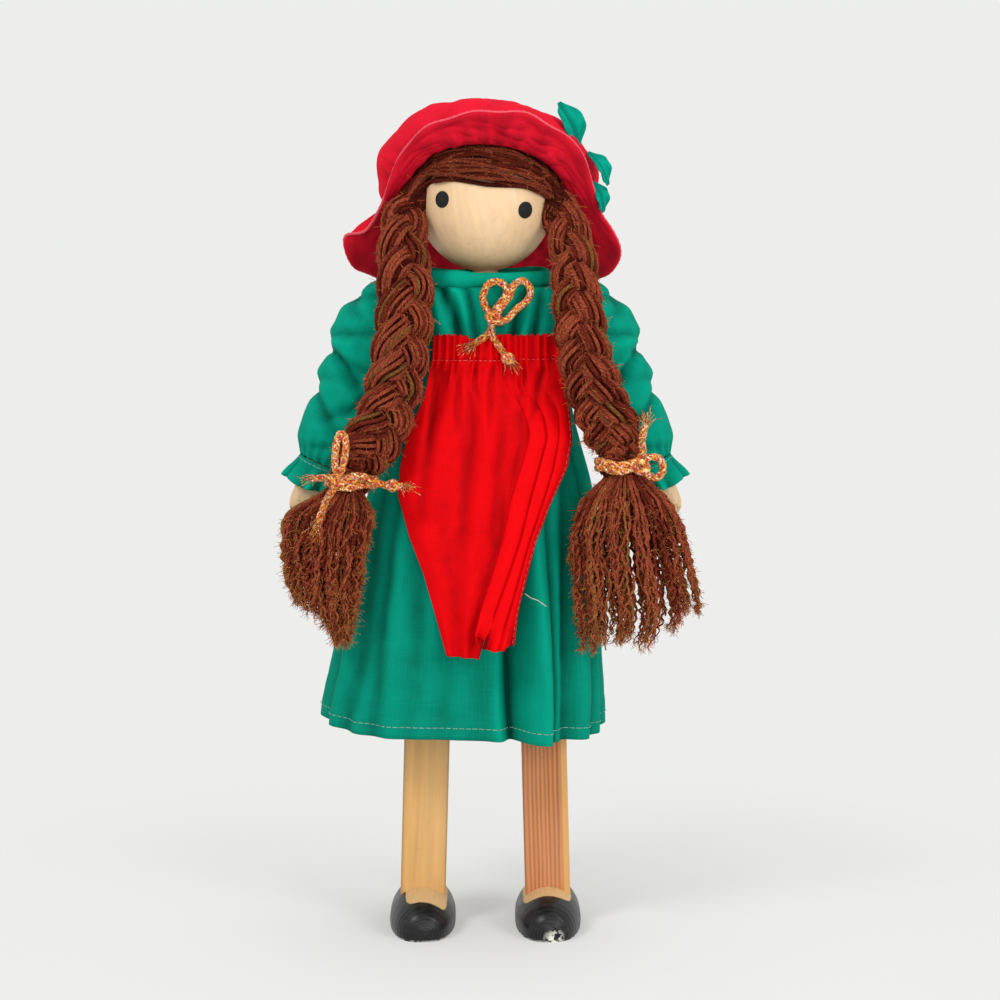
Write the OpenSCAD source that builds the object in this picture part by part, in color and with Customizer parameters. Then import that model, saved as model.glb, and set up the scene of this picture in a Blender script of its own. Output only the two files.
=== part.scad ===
// Pegged wooden doll with yarn plaits, a cloth dress, an apron and a brimmed hat.
// The doll faces -Y and stands on z = 0. Left and right are as seen from the front, so left is -X.

/* [Head] */
// Diameter of the turned ball head
head_d = 57; // [54:0.5:60]
// Diameter of each eye
eye_d = 7; // [5:0.5:8]
// Thickness of each eye on the ball
eye_t = 0.3; // [0.2:0.1:0.6]
// How far each eye lies round the ball from the middle of the face, in degrees
eye_turn = 37.7; // [32:0.1:44]
// How far the face turns to the left, in degrees
face_turn = 1.8; // [0:0.1:8]
// How far the face rolls, in degrees
face_roll = 7.2; // [0:0.2:10]
// Diameter of the neck peg
neck_d = 11; // [9:0.5:13]
// Neck that shows between the torso and the ball
neck_h = 7; // [6:0.5:8]
// How deep the neck peg is glued into the torso and into the ball
neck_seat = 15; // [10:0.5:18]

/* [Torso] */
// Width of the torso across the shoulders
torso_w = 62; // [60:0.5:64]
// Depth of the torso, front to back
torso_d = 26; // [24:0.5:28]
// Height of the torso above its hip tongue
torso_h = 93; // [91:0.5:95]
// How far the shoulder pivots lie below the top of the torso
shoulder_drop = 9; // [8:0.5:10]
// Width of the hip tongue between the thighs
tongue_w = 25; // [23:0.5:25.5]
// Gap between the torso's underside and the turning thighs
hip_rise = 6.3; // [5:0.1:8]

/* [Arms] */
// Width of the arm stock
arm_w = 16.5; // [15.5:0.25:17]
// Depth of the arm stock, front to back
arm_d = 14; // [13:0.25:15]
// Radius along the long edges of the arm stock
arm_edge_r = 4; // [2:0.25:5]
// Shoulder pivot to elbow pivot
upper_arm_len = 42; // [40:0.5:44]
// Elbow pivot to the end of the hand
forearm_len = 56; // [53:0.5:58]
// How far each arm leans out from the body, in degrees
arm_splay = 23.4; // [22:0.2:25]
// Shoulder peg diameter
shoulder_peg_d = 6; // [5:0.25:7]
// How deep the shoulder peg turns in the torso
shoulder_peg_in = 17; // [12:0.5:20]
// Thickness of the elbow tenon
elbow_tenon_w = 6; // [5:0.25:6.5]
// Elbow peg diameter
elbow_peg_d = 4; // [3:0.25:4.5]
// Furthest forward bend of the elbow, in degrees
elbow_bend = 70; // [40:5:80]

/* [Legs] */
// Width and depth of the square leg stock
leg_w = 19.5; // [18.5:0.25:20]
// Radius along the long edges of the leg stock
leg_edge_r = 0.6; // [0.3:0.1:1.5]
// Middle of the doll to each leg's middle at the hip
hip_x = 22.9; // [22.9:0.1:24]
// How far each leg leans out, in degrees
leg_splay = 1.6; // [0.8:0.1:2]
// Hip pivot to knee pivot
thigh_len = 64; // [62:0.5:66]
// Knee pivot to the seat on the foot
shin_len = 92; // [90:0.5:94]
// Diameter of the dowel through both thighs and the tongue
hip_dowel_d = 8; // [7:0.25:9]
// How far the hip dowel's ends lie inside the thighs' outer faces
hip_dowel_in = 3; // [0.5:0.25:4]
// Thickness of the knee tenon
knee_tenon_w = 7.5; // [6.5:0.25:8]
// Knee peg diameter
knee_peg_d = 5; // [4:0.25:6]
// Furthest backward bend of the knee, in degrees
knee_bend = 55; // [30:5:60]

/* [Feet] */
// Length of each foot
foot_len = 48; // [45:0.5:50]
// Width of each foot
foot_w = 28.6; // [27.5:0.2:30]
// Height of each foot at the instep
foot_h = 17.6; // [16.5:0.2:18.5]
// Leg's middle to the back of the heel
heel_len = 14.5; // [13:0.25:16]
// Height of the leg's seat in the foot
seat_h = 12; // [11.5:0.25:12.5]

/* [Joint clearances] */
// Clearance round each turning peg
peg_clear = 0.05; // [0.02:0.01:0.08]
// Gap between wooden pieces that turn against each other
turn_gap = 0.3; // [0.25:0.05:0.4]

/* [Dress] */
// Thickness of the dress cloth with its turned edges
cloth_t = 1.2; // [1:0.1:1.4]
// Gap between soft pieces and what they lie on
soft_gap = 0.3; // [0.25:0.05:0.4]
// Height of the seam between bodice and skirt
seam_h = 248; // [246:0.5:249]
// Height of the hem
hem_h = 90; // [88:0.5:94]
// Middle to the hem's left edge
hem_left = 73; // [70:0.5:76]
// Middle to the hem's right edge
hem_right = 52.5; // [49:0.5:54]
// Middle to the hem's front edge
hem_front = 50; // [48:0.5:51]
// Middle to the hem's back edge
hem_back = 46; // [44:0.5:48]
// Number of folds round the skirt
skirt_folds = 9; // [7:1:12]
// Depth of the skirt folds at the hem
skirt_fold_d = 3.5; // [2:0.25:4.5]
// Middle to the front of the bodice
bodice_front = 25; // [24:0.5:26]
// Middle to the back of the bodice
bodice_back = 21; // [20:0.5:22]
// Height of the gathered band round the neck
band_h = 6.5; // [5:0.5:7]
// Depth of the waves in the neck band
band_wave_d = 1.4; // [0.8:0.1:1.6]
// Arm middle to the outside of the puffed sleeve
sleeve_out = 20; // [19:0.5:21]
// Arm middle to the inside of the puffed sleeve
sleeve_in = 14; // [13:0.5:14]
// Arm middle to the front and back of the puffed sleeve
sleeve_side = 18; // [17:0.5:19]
// Shoulder pivot to the gathered wrist, along the arm
wrist_at = 72; // [70:0.5:73]
// Length of the cuff frill
cuff_len = 11.5; // [9:0.5:12]
// Radius of the cuff frill at its edge
cuff_r = 14; // [12.5:0.25:15]

/* [Apron] */
// Height of the apron's top edge
apron_top = 259; // [256:0.5:261]
// Length of the apron
apron_len = 130; // [124:0.5:134]
// Half of the apron's greatest width
apron_x = 36; // [33:0.5:37]
// Thickness of the apron cloth
apron_t = 1; // [0.8:0.1:1.2]
// Depth of the apron's gathers and pleats
apron_fold_d = 3; // [1.5:0.25:4]

/* [Hair] */
// Thickness of the hank of yarn over the head
hank_t = 3; // [2.5:0.1:3.1]
// Radius of one strand of a plait
strand_r = 6; // [5:0.1:6.2]
// How far the strands of a plait swing sideways
plait_swing = 5.6; // [4.5:0.1:5.8]
// How far the strands of a plait swing front to back
plait_depth = 3; // [2.5:0.1:3.4]
// Length in which a strand crosses over and comes back
plait_pitch = 46; // [40:1:52]
// Half depth of each tassel, front to back
tassel_y = 11; // [9:0.5:12]
// Half width of the left tassel
tassel_left_x = 17.5; // [15:0.5:19]
// Half width of the right tassel
tassel_right_x = 25; // [21:0.5:26]
// Length of the left tassel
tassel_left_len = 63; // [54:1:66]
// Length of the right tassel
tassel_right_len = 70; // [62:1:74]

/* [Hat] */
// Radius of the seam between crown and brim
hat_seam_r = 34; // [33.8:0.1:35]
// Backward tilt of the hat, in degrees
hat_tilt = 38; // [36:0.5:40]
// How far the hat rolls down to the right, in degrees
hat_roll = 4; // [0:0.5:6]
// Greatest radius of the puffed crown
crown_r = 48; // [46:0.5:49]
// Height of the crown along its tilted axis
crown_h = 37.5; // [36:0.5:40]
// Half width of the brim
brim_x = 60; // [57:0.5:62]
// Half depth of the brim, seen from above
brim_y = 42; // [40:0.5:43]
// Half the height between the brim's front and back edges
brim_rise = 37; // [35:0.5:38]
// Height of the waves in the brim
brim_wave = 1.2; // [0.5:0.1:1.5]
// Length of each cloth leaf on the hat
leaf_len = 20; // [17:0.5:22]
// Width of each cloth leaf on the hat
leaf_w = 11; // [9:0.5:12]

/* [Cord] */
// Diameter of the metallic cord in the bow and the ties
cord_d = 3.2; // [2.8:0.1:3.4]

/* [Hidden] */

$fn = 64;
// One overrun serves every cut
over = 1;

// Heights worked out from the feet up
hip_z = seat_h + (thigh_len + shin_len) * cos(leg_splay);
torso_z = hip_z + leg_w / 2 + hip_rise;
torso_top = torso_z + torso_h;
shoulder_z = torso_top - shoulder_drop;
shoulder_seat_share = 0.545;
shoulder_x = torso_w / 2 + arm_w * shoulder_seat_share;
head_z = torso_top + neck_h + head_d / 2;
head_r = head_d / 2;
hank_r = head_r + hank_t;
doll_h = head_z + head_r;
hip_dowel_x = hip_x + leg_w / 2 - hip_dowel_in;

// Shape helpers

// Value at t, from 0 to 1, of a smooth curve through evenly spaced values or points
function smooth(list, t) =
    let(
        last = len(list) - 1,
        u = min(max(t, 0), 1) * last,
        i = min(floor(u), last - 1),
        f = u - i,
        a = list[max(i - 1, 0)],
        b = list[i],
        c = list[i + 1],
        d = list[min(i + 2, last)]
    )
    b + (c - a) * (f / 2) + (2 * a - 5 * b + 4 * c - d) * (f * f / 2)
        + (3 * b - a - 3 * c + d) * (f * f * f / 2);

function unit(v) = v / norm(v);
function power(v, e) = sign(v) * pow(abs(v), e);
function mix(a, b, t) = a + (b - a) * t;
function ease(t) = let(u = min(max(t, 0), 1)) u * u * (3 - 2 * u);

// Joins rings of equal point counts into one closed solid. A looped skin joins its last ring to its first,
// which makes a sleeve, and any other skin is closed by a fan at each end.
module skin(rings, looped = false) {
    n = len(rings[0]);
    m = len(rings);
    points = [for (ring = rings) each ring];
    sides = [
        for (i = [0 : m - (looped ? 1 : 2)], j = [0 : n - 1])
            let(a = i * n, b = ((i + 1) % m) * n, k = (j + 1) % n)
            each [[a + j, b + j, b + k], [a + j, b + k, a + k]]
    ];
    ends = [center_of(rings[0]), center_of(rings[m - 1])];
    caps = [
        for (j = [0 : n - 1])
            let(k = (j + 1) % n)
            each [[m * n, j, k], [m * n + 1, (m - 1) * n + k, (m - 1) * n + j]]
    ];
    if (looped) polyhedron(points, sides, 8);
    else polyhedron(concat(points, ends), concat(sides, caps), 8);
}

function sum_of(points, i = 0) = i == len(points) ? [0, 0, 0] : points[i] + sum_of(points, i + 1);
function center_of(points) = sum_of(points) / len(points);

// Joins two grids of points, one each side of a cloth, into a closed sheet
module sheet(front, back) {
    m = len(front);
    n = len(front[0]);
    points = concat([for (row = front) each row], [for (row = back) each row]);
    faces = [
        for (i = [0 : m - 2], j = [0 : n - 2])
            let(a = i * n + j, b = a + n, c = a + m * n, d = c + n)
            each [[a, b, b + 1], [a, b + 1, a + 1], [c, d + 1, d], [c, c + 1, d + 1]]
    ];
    ends = [
        for (j = [0 : n - 2])
            let(a = j, b = (m - 1) * n + j, c = a + m * n, d = b + m * n)
            each [[a, a + 1, c + 1], [a, c + 1, c], [b, d + 1, b + 1], [b, d, d + 1]]
    ];
    edges = [
        for (i = [0 : m - 2])
            let(a = i * n, b = a + n - 1, c = a + m * n, d = b + m * n)
            each [[a, c + n, a + n], [a, c, c + n], [b, b + n, d + n], [b, d + n, d]]
    ];
    polyhedron(points, concat(faces, ends, edges), 8);
}

// Points round one section of a tube: centre, direction of travel, side direction and two radii
function section(at, along, side, ra, rb, sides) =
    let(u = unit(side - along * (side * along)), v = cross(along, u))
    [for (k = [0 : sides - 1]) at + u * (ra * cos(360 * k / sides)) + v * (rb * sin(360 * k / sides))];

// Direction of travel at t along a smooth route
function heading(route, t) = unit(smooth(route, min(t + 0.01, 1)) - smooth(route, max(t - 0.01, 0)));

// Round tube along a smooth route, fattened into a knot at its start or its end
knot_share = 0.7;
module tube(route, d, rings, start_knot = false, end_knot = false, sides = 8) {
    skin([
        for (i = [0 : rings - 1])
            let(
                t = i / (rings - 1),
                from_start = start_knot ? ease(1 - abs(t * (rings - 1) - 1)) : 0,
                from_end = end_knot ? ease(1 - abs((1 - t) * (rings - 1) - 1)) : 0,
                r = d / 2 * (1 + knot_share * (from_start + from_end))
            )
            section(smooth(route, t), heading(route, t), [0, 1, 0], r, r, sides)
    ]);
}

// Rectangle with round corners, about the origin
module round_rect(w, d, r) {
    square([w - 2 * r, d], center = true);
    square([w, d - 2 * r], center = true);
    for (x = [-1, 1], y = [-1, 1])
        translate([x * (w / 2 - r), y * (d / 2 - r)])
            circle(r);
}

// Rod along X, from one place to another
module rod(d, from, to) {
    translate([from, 0, 0])
        rotate([0, 90, 0])
            cylinder(d = d, h = to - from);
}

// Puts an arm piece, drawn with its pivot at the origin and hanging down, on the right or the left
module on_arm(right) {
    mirror([right ? 0 : 1, 0, 0])
        translate([shoulder_x, 0, shoulder_z])
            rotate([0, -arm_splay, 0])
                children();
}

// The same for a leg piece, drawn with the hip at the origin
module on_leg(right) {
    mirror([right ? 0 : 1, 0, 0])
        translate([hip_x, 0, hip_z])
            rotate([0, -leg_splay, 0])
                children();
}

// Room for a round end to swing round a pivot, seen from the side: the round end and two straight runs, one as
// it hangs and one as it is bent. The width lies along X.
module swing_room(w, r, reach, bend, up) {
    rotate([90, 0, 90])
        linear_extrude(w, center = true) {
            circle(r);
            for (a = [0, bend])
                rotate(a)
                    translate([-r, up ? 0 : -reach])
                        square([2 * r, reach]);
        }
}

// Torso and head

torso_share = [
    [0.40, 0], [0.44, 0.08], [0.42, 0.22], [0.38, 0.40], [0.385, 0.55], [0.43, 0.70],
    [0.5, 0.80], [0.5, 0.955], [0.485, 0.985], [0.44, 1]
];

// Front outline of the torso, grown by a gap where cloth has to clear it
module torso_block(grow = 0) {
    translate([0, torso_d / 2 + grow, torso_z])
        rotate([90, 0, 0])
            linear_extrude(torso_d + 2 * grow)
                polygon(concat(
                    [for (p = torso_share) [p[0] * torso_w + grow, p[1] * torso_h + (p[1] == 1 ? grow : 0)]],
                    [for (i = [len(torso_share) - 1 : -1 : 0]) let(p = torso_share[i])
                        [-p[0] * torso_w - grow, p[1] * torso_h + (p[1] == 1 ? grow : 0)]]
                ));
}

module torso() {
    color("burlywood")
        difference() {
            union() {
                torso_block();
                translate([-tongue_w / 2, -leg_w / 2, hip_z])
                    cube([tongue_w, leg_w, torso_z - hip_z + torso_h / 4]);
                translate([0, 0, hip_z])
                    rod(leg_w, -tongue_w / 2, tongue_w / 2);
            }
            translate([0, 0, hip_z])
                rod(hip_dowel_d + 2 * peg_clear, -tongue_w, tongue_w);
            for (x = [-1, 1])
                translate([x * torso_w / 2, 0, shoulder_z])
                    rod(shoulder_peg_d + 2 * peg_clear, -shoulder_peg_in - peg_clear, shoulder_peg_in);
            translate([0, 0, torso_top - neck_seat])
                cylinder(d = neck_d, h = neck_seat + over);
        }
}

module neck_peg() {
    color("tan")
        translate([0, 0, torso_top - neck_seat])
            cylinder(d = neck_d, h = 2 * neck_seat + neck_h);
}

module head() {
    color("wheat")
        difference() {
            translate([0, 0, head_z])
                sphere(head_r, $fn = 96);
            translate([0, 0, torso_top])
                cylinder(d = neck_d, h = neck_h + neck_seat);
        }
}

module eye(right) {
    color("black")
        translate([0, 0, head_z])
            rotate([0, face_roll, 0])
                rotate([0, 0, (right ? 1 : -1) * eye_turn - face_turn])
                    intersection() {
                        rotate([90, 0, 0])
                            cylinder(d = eye_d, h = head_d);
                        difference() {
                            sphere(head_r + eye_t, $fn = 96);
                            sphere(head_r, $fn = 96);
                        }
                    }
}

// Hair

// Slope of the hank's lower edge, which runs from the forehead back under the ears, and its two places
hank_slope = 40;
hank_front_share = -0.155;
hank_nape_share = -0.2;

// Block above a place on the head, tilted back
module above(place, slope) {
    translate([0, 0, head_z])
        rotate([-slope, 0, 0])
            translate([-head_d, -head_d, place])
                cube(2 * head_d);
}

module hair_hank() {
    color([0.42, 0.22, 0.14])
        intersection() {
            difference() {
                translate([0, 0, head_z])
                    sphere(hank_r, $fn = 96);
                translate([0, 0, head_z])
                    sphere(head_r, $fn = 96);
            }
            above(hank_front_share * head_d, hank_slope);
            above(hank_nape_share * head_d, 0);
        }
}

// Middle lines of the plaits from the side of the head to the tie, as shares of the doll's height
plait_left_shares = [
    [-0.099, -0.0385, 0.906], [-0.1, -0.073, 0.857], [-0.097, -0.1, 0.806], [-0.101, -0.112, 0.751],
    [-0.111, -0.113, 0.7], [-0.126, -0.113, 0.651], [-0.148, -0.112, 0.618], [-0.161, -0.110, 0.600],
    [-0.163, -0.109, 0.587], [-0.163, -0.109, 0.574]
];
plait_right_shares = [
    [0.0925, -0.0375, 0.908], [0.108, -0.073, 0.857], [0.113, -0.098, 0.812], [0.120, -0.112, 0.765],
    [0.128, -0.113, 0.718], [0.141, -0.113, 0.677], [0.155, -0.112, 0.642], [0.163, -0.110, 0.620],
    [0.165, -0.109, 0.607], [0.165, -0.109, 0.594]
];
plait_rings = 30;
// Thickness of each plait along its length, and at its waist under the tie
plait_left_size_shares = [0.75, 0.95, 1, 1, 1, 1, 0.95, 0.8];
plait_right_size_shares = [0.7, 0.7, 0.78, 0.92, 0.97, 0.97, 0.9, 0.8];
plait_waist_share = 0.68;
// Length of a plait as a share of the doll's height
plait_length_share = 0.36;

function plait_at(shares, t) = smooth(shares, t) * doll_h;

module plait(shares, size_shares) {
    turns = plait_length_share * doll_h / plait_pitch;
    color([0.45, 0.24, 0.15])
        for (strand = [0 : 2])
            skin([
                for (i = [0 : plait_rings - 1])
                    let(
                        t = i / (plait_rings - 1),
                        along = heading(shares, t),
                        size = mix(smooth(size_shares, t), plait_waist_share, ease((t - 0.66) / 0.12)),
                        side = unit([1, 0, 0] - along * along[0]),
                        out = cross(along, side),
                        turn = 360 * t * turns + 120 * strand,
                        swing = side * (plait_swing * sin(turn)) + out * (plait_depth * sin(2 * turn))
                    )
                    section(
                        plait_at(shares, t) + swing * size, along, side, strand_r * size, strand_r * size, 8
                    )
            ]);
}

module plait_left() { plait(plait_left_shares, plait_left_size_shares); }
module plait_right() { plait(plait_right_shares, plait_right_size_shares); }

// Tassels: sideways shift, half width and half depth at evenly spaced heights, as shares of the width
// and of the depth
tassel_left_shares = [
    [0, 0.40, 0.6], [-0.25, 0.85, 0.9], [-0.4, 1, 1], [-0.44, 0.98, 1], [-0.40, 0.9, 1],
    [-0.32, 0.75, 0.9], [-0.25, 0.55, 0.75], [-0.22, 0.28, 0.5]
];
tassel_right_shares = [
    [0, 0.28, 0.6], [0.02, 0.72, 0.95], [0.04, 0.92, 1], [0.08, 1, 1], [0.12, 1, 0.95],
    [0.13, 0.97, 0.85], [0.06, 0.85, 0.75], [-0.28, 0.45, 0.5]
];
tassel_rings = 10;
tassel_sides = 36;
tassel_locks = 9;
tassel_lock_share = 0.06;

// Hanging bundle of yarn ends, whose locks show as ridges down its length
module tassel(top, len, half_w, shares) {
    color([0.45, 0.27, 0.13])
        skin([
            for (i = [tassel_rings - 1 : -1 : 0])
                let(t = i / (tassel_rings - 1), s = smooth(shares, t))
                [
                    for (k = [0 : tassel_sides - 1])
                        let(
                            a = 360 * k / tassel_sides,
                            lock = 1 - tassel_lock_share * ease(2 * t) * (1 + cos(a * tassel_locks))
                        )
                        top + [
                            half_w * (s[0] + s[1] * lock * cos(a)), tassel_y * s[2] * lock * sin(a),
                            -soft_gap - len * t
                        ]
                ]
        ]);
}

module tassel_left() {
    tassel(plait_at(plait_left_shares, 1), tassel_left_len, tassel_left_x, tassel_left_shares);
}

module tassel_right() {
    tassel(plait_at(plait_right_shares, 1), tassel_right_len, tassel_right_x, tassel_right_shares);
}

// Arms

// Bar of stock that hangs from one distance below the origin to another
module stock(w, d, r, from, to) {
    translate([0, 0, -to])
        linear_extrude(to - from)
            round_rect(w, d, r);
}

// Outline of a bar with round ends about two pivots, one above the other
module round_ended(w, len) {
    translate([-w / 2, -len])
        square([w, len]);
    for (y = [0, -len])
        translate([0, y])
            circle(d = w);
}

// Upper piece of a limb, hanging from the origin to a forked end that the lower piece's tenon turns in
module forked_bar(w, d, r, len, tenon_w, bend) {
    difference() {
        intersection() {
            stock(w, d, r, -d, len + d);
            rotate([90, 0, 90])
                linear_extrude(2 * w, center = true)
                    round_ended(d, len);
        }
        translate([0, 0, -len])
            swing_room(tenon_w + 2 * turn_gap, d / 2 + turn_gap, len / 2, bend, false);
    }
}

// Lower piece of a limb with its pivot at the origin: a tenon between two coped shoulders
module tenoned_bar(w, d, r, len, tenon_w, bend) {
    difference() {
        stock(w, d, r, 0, len);
        swing_room(w + over, d / 2 + turn_gap, len / 2, -bend, true);
    }
    rod(d, -tenon_w / 2, tenon_w / 2);
    translate([-tenon_w / 2, -d / 2, -d])
        cube([tenon_w, d, d]);
}

// Everything nearer the body than an arm's flat inner face
module body_side(right, grow) {
    mirror([right ? 0 : 1, 0, 0])
        translate([0, -torso_w / 2, 0])
            cube([torso_w / 2 + grow, torso_w, 2 * torso_top]);
}

module shoulder_rod(right, d, from, to) {
    mirror([right ? 0 : 1, 0, 0])
        translate([0, 0, shoulder_z])
            rod(d, from, to);
}

module shoulder_peg(right) {
    color("tan")
        shoulder_rod(right, shoulder_peg_d, torso_w / 2 - shoulder_peg_in, shoulder_x + shoulder_peg_d / 2);
}

module upper_arm(right) {
    color("burlywood")
        difference() {
            on_arm(right)
                difference() {
                    forked_bar(arm_w, arm_d, arm_edge_r, upper_arm_len, elbow_tenon_w, -elbow_bend);
                    translate([0, 0, -upper_arm_len])
                        rod(elbow_peg_d, -arm_w, arm_w);
                }
            body_side(right, turn_gap);
            shoulder_rod(right, shoulder_peg_d, 0, shoulder_x + shoulder_peg_d / 2);
        }
}

module elbow_peg(right) {
    color("tan")
        on_arm(right)
            translate([0, 0, -upper_arm_len])
                rod(elbow_peg_d, -arm_w / 2, arm_w / 2);
}

module forearm(right) {
    color("burlywood")
        on_arm(right)
            translate([0, 0, -upper_arm_len])
                difference() {
                    intersection() {
                        tenoned_bar(arm_w, arm_d, arm_edge_r, forearm_len, elbow_tenon_w, -elbow_bend);
                        rotate([90, 0, 0])
                            linear_extrude(2 * arm_d, center = true)
                                round_ended(arm_w, forearm_len - arm_w / 2);
                        rotate([90, 0, 90])
                            linear_extrude(2 * arm_w, center = true)
                                round_ended(arm_d, forearm_len - arm_d / 2);
                    }
                    rod(elbow_peg_d + 2 * peg_clear, -arm_w, arm_w);
                }
}

// Legs

module hip_dowel() {
    color("tan")
        translate([0, 0, hip_z])
            rod(hip_dowel_d, -hip_dowel_x, hip_dowel_x);
}

module thigh(right) {
    color("burlywood")
        difference() {
            on_leg(right)
                difference() {
                    forked_bar(leg_w, leg_w, leg_edge_r, thigh_len, knee_tenon_w, knee_bend);
                    translate([0, 0, -thigh_len])
                        rod(knee_peg_d, -leg_w, leg_w);
                }
            translate([0, 0, hip_z])
                rod(hip_dowel_d, -hip_dowel_x, hip_dowel_x);
        }
}

module knee_peg(right) {
    color("tan")
        on_leg(right)
            translate([0, 0, -thigh_len])
                rod(knee_peg_d, -leg_w / 2, leg_w / 2);
}

// Everything below the leg's seat on its foot
module below_seat() {
    translate([-torso_w, -torso_w, -torso_w])
        cube([2 * torso_w, 2 * torso_w, torso_w + seat_h]);
}

module shin(right) {
    color(right ? [0.79, 0.53, 0.35] : [0.85, 0.68, 0.44])
        difference() {
            on_leg(right)
                translate([0, 0, -thigh_len])
                    difference() {
                        tenoned_bar(leg_w, leg_w, leg_edge_r, shin_len + over, knee_tenon_w, knee_bend);
                        rod(knee_peg_d + 2 * peg_clear, -leg_w, leg_w);
                    }
            below_seat();
        }
}

// The foot's turned outline, from heel to toe: radius as a share of half its width, and length
foot_shares = [
    [0, 0], [0.62, 0], [0.78, 0.02], [0.89, 0.07], [0.96, 0.14], [0.99, 0.22], [1, 0.32], [1, 0.49],
    [0.985, 0.56], [0.955, 0.62], [0.92, 0.68], [0.875, 0.74], [0.82, 0.80], [0.75, 0.855], [0.67, 0.90],
    [0.57, 0.94], [0.45, 0.97], [0.30, 0.99], [0.15, 1], [0, 1]
];
// Height of the lathe's axis above the sole
foot_axis_z = foot_h - foot_w / 2;

module foot(right) {
    color([0.12, 0.12, 0.13])
        difference() {
            mirror([right ? 0 : 1, 0, 0])
                translate([hip_x + sin(leg_splay) * (thigh_len + shin_len), heel_len, foot_axis_z])
                    intersection() {
                        rotate([90, 0, 0])
                            rotate_extrude()
                                polygon([for (p = foot_shares) [p[0] * foot_w / 2, p[1] * foot_len]]);
                        translate([-foot_w / 2, -foot_len, -foot_axis_z])
                            cube([foot_w, foot_len, foot_h]);
                    }
            difference() {
                on_leg(right)
                    stock(leg_w, leg_w, leg_edge_r, thigh_len, thigh_len + shin_len + over);
                below_seat();
            }
        }
}

// Dress

// Skirt at evenly spaced heights from the seam to the hem: left, right, front and back shares
skirt_shares = [
    [0.445, 0.635, 0.55, 0.50], [0.60, 0.72, 0.64, 0.63], [0.68, 0.86, 0.74, 0.73], [0.77, 0.92, 0.83, 0.82],
    [0.85, 0.96, 0.90, 0.90], [0.92, 0.99, 0.96, 0.96], [1, 1, 1, 1]
];
// How square the clothes are, seen from above
square_share = 2.3;
skirt_sides = 63;
skirt_rings = 8;
skirt_phase = 130;

// Point at angle a of a rounded outline with four half sizes: left, right, front and back
function round_at(a, left, right, front, back, z) = [
    (cos(a) > 0 ? right : left) * power(cos(a), 2 / square_share),
    (sin(a) > 0 ? back : front) * power(sin(a), 2 / square_share),
    z
];

function skirt_at(a, t, inset) =
    let(
        s = smooth(skirt_shares, t),
        fold = 1 - skirt_fold_d / hem_front * t * (0.5 + 0.5 * cos(a * skirt_folds + skirt_phase))
    )
    round_at(
        a, s[0] * hem_left * fold - inset, s[1] * hem_right * fold - inset,
        s[2] * hem_front * fold - inset, s[3] * hem_back * fold - inset, mix(seam_h, hem_h, t)
    );

function ring_of(n, f) = [for (k = [0 : n - 1]) f(360 * k / n)];

module dress_skirt() {
    levels = [for (i = [skirt_rings - 1 : -1 : 0]) i / (skirt_rings - 1)];
    color([0.04, 0.56, 0.47])
        skin(concat(
            [for (t = levels) ring_of(skirt_sides, function(a) skirt_at(a, t, 0))],
            [for (i = [skirt_rings - 1 : -1 : 0]) ring_of(
                skirt_sides, function(a) skirt_at(a, levels[i], cloth_t)
            )]
        ), true);
}

// Bodice from the skirt seam to the neck band: height, width, front and back shares
bodice_shares = [
    [0, 1, 1.04, 1.02], [0.2, 1, 1.02, 1.01], [0.5, 1, 1, 1], [0.75, 1, 0.98, 0.98], [0.9, 0.97, 0.94, 0.94],
    [1, 0.88, 0.86, 0.86]
];
bodice_sides = 32;
bodice_rings = 6;
bodice_top = torso_top + cloth_t + soft_gap;
bodice_x = torso_w / 2;

function bodice_at(a, t, inset) =
    let(s = smooth(bodice_shares, t))
    round_at(
        a, s[1] * bodice_x - inset, s[1] * bodice_x - inset, s[2] * bodice_front - inset,
        s[3] * bodice_back - inset, mix(seam_h + soft_gap, bodice_top, s[0])
    );

module dress_bodice() {
    levels = [for (i = [0 : bodice_rings - 1]) i / (bodice_rings - 1)];
    color([0.04, 0.56, 0.47])
        difference() {
            skin(concat(
                [for (t = levels) ring_of(bodice_sides, function(a) bodice_at(a, t, 0))],
                [for (i = [bodice_rings - 1 : -1 : 0]) ring_of(
                    bodice_sides, function(a) bodice_at(a, levels[i], cloth_t)
                )]
            ), true);
            torso_block(soft_gap);
            for (side = [-1, 1])
                translate([side * torso_w / 2, 0, shoulder_z])
                    rod(arm_d + 2 * turn_gap + 2 * soft_gap, -cloth_t, cloth_t);
        }
}

// Gathered band that stands up round the neck
band_sides = 48;
band_waves = 12;

function band_at(a, t, inset) =
    let(s = bodice_shares[len(bodice_shares) - 1], wave = band_wave_d * t * (0.5 + 0.5 * cos(a * band_waves)))
    round_at(
        a, s[1] * bodice_x - inset - wave, s[1] * bodice_x - inset - wave, s[2] * bodice_front - inset - wave,
        s[3] * bodice_back - inset - wave, bodice_top + soft_gap + band_h * t
    );

module neck_band() {
    color([0.03, 0.50, 0.42])
        skin(concat(
            [for (t = [0, 0.5, 1]) ring_of(band_sides, function(a) band_at(a, t, 0))],
            [for (t = [1, 0.5, 0]) ring_of(band_sides, function(a) band_at(a, t, cloth_t))]
        ), true);
}

// Sleeve down the arm: distance, outside, inside and front to back shares
sleeve_shares = [
    [-0.155, 0.10, 0.13, 0.10], [-0.13, 0.50, 0.50, 0.50], [-0.03, 0.80, 0.68, 0.76], [0.10, 0.98, 0.72, 0.95],
    [0.22, 1, 0.80, 1], [0.33, 0.98, 0.84, 0.98], [0.42, 0.88, 0.86, 0.85], [0.54, 0.95, 0.98, 0.95],
    [0.68, 0.88, 1, 0.92], [0.82, 0.85, 1, 0.86], [0.92, 0.78, 0.92, 0.76], [1, 0.58, 0.80, 0.56]
];
sleeve_sides = 20;
sleeve_rings = 13;

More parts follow.
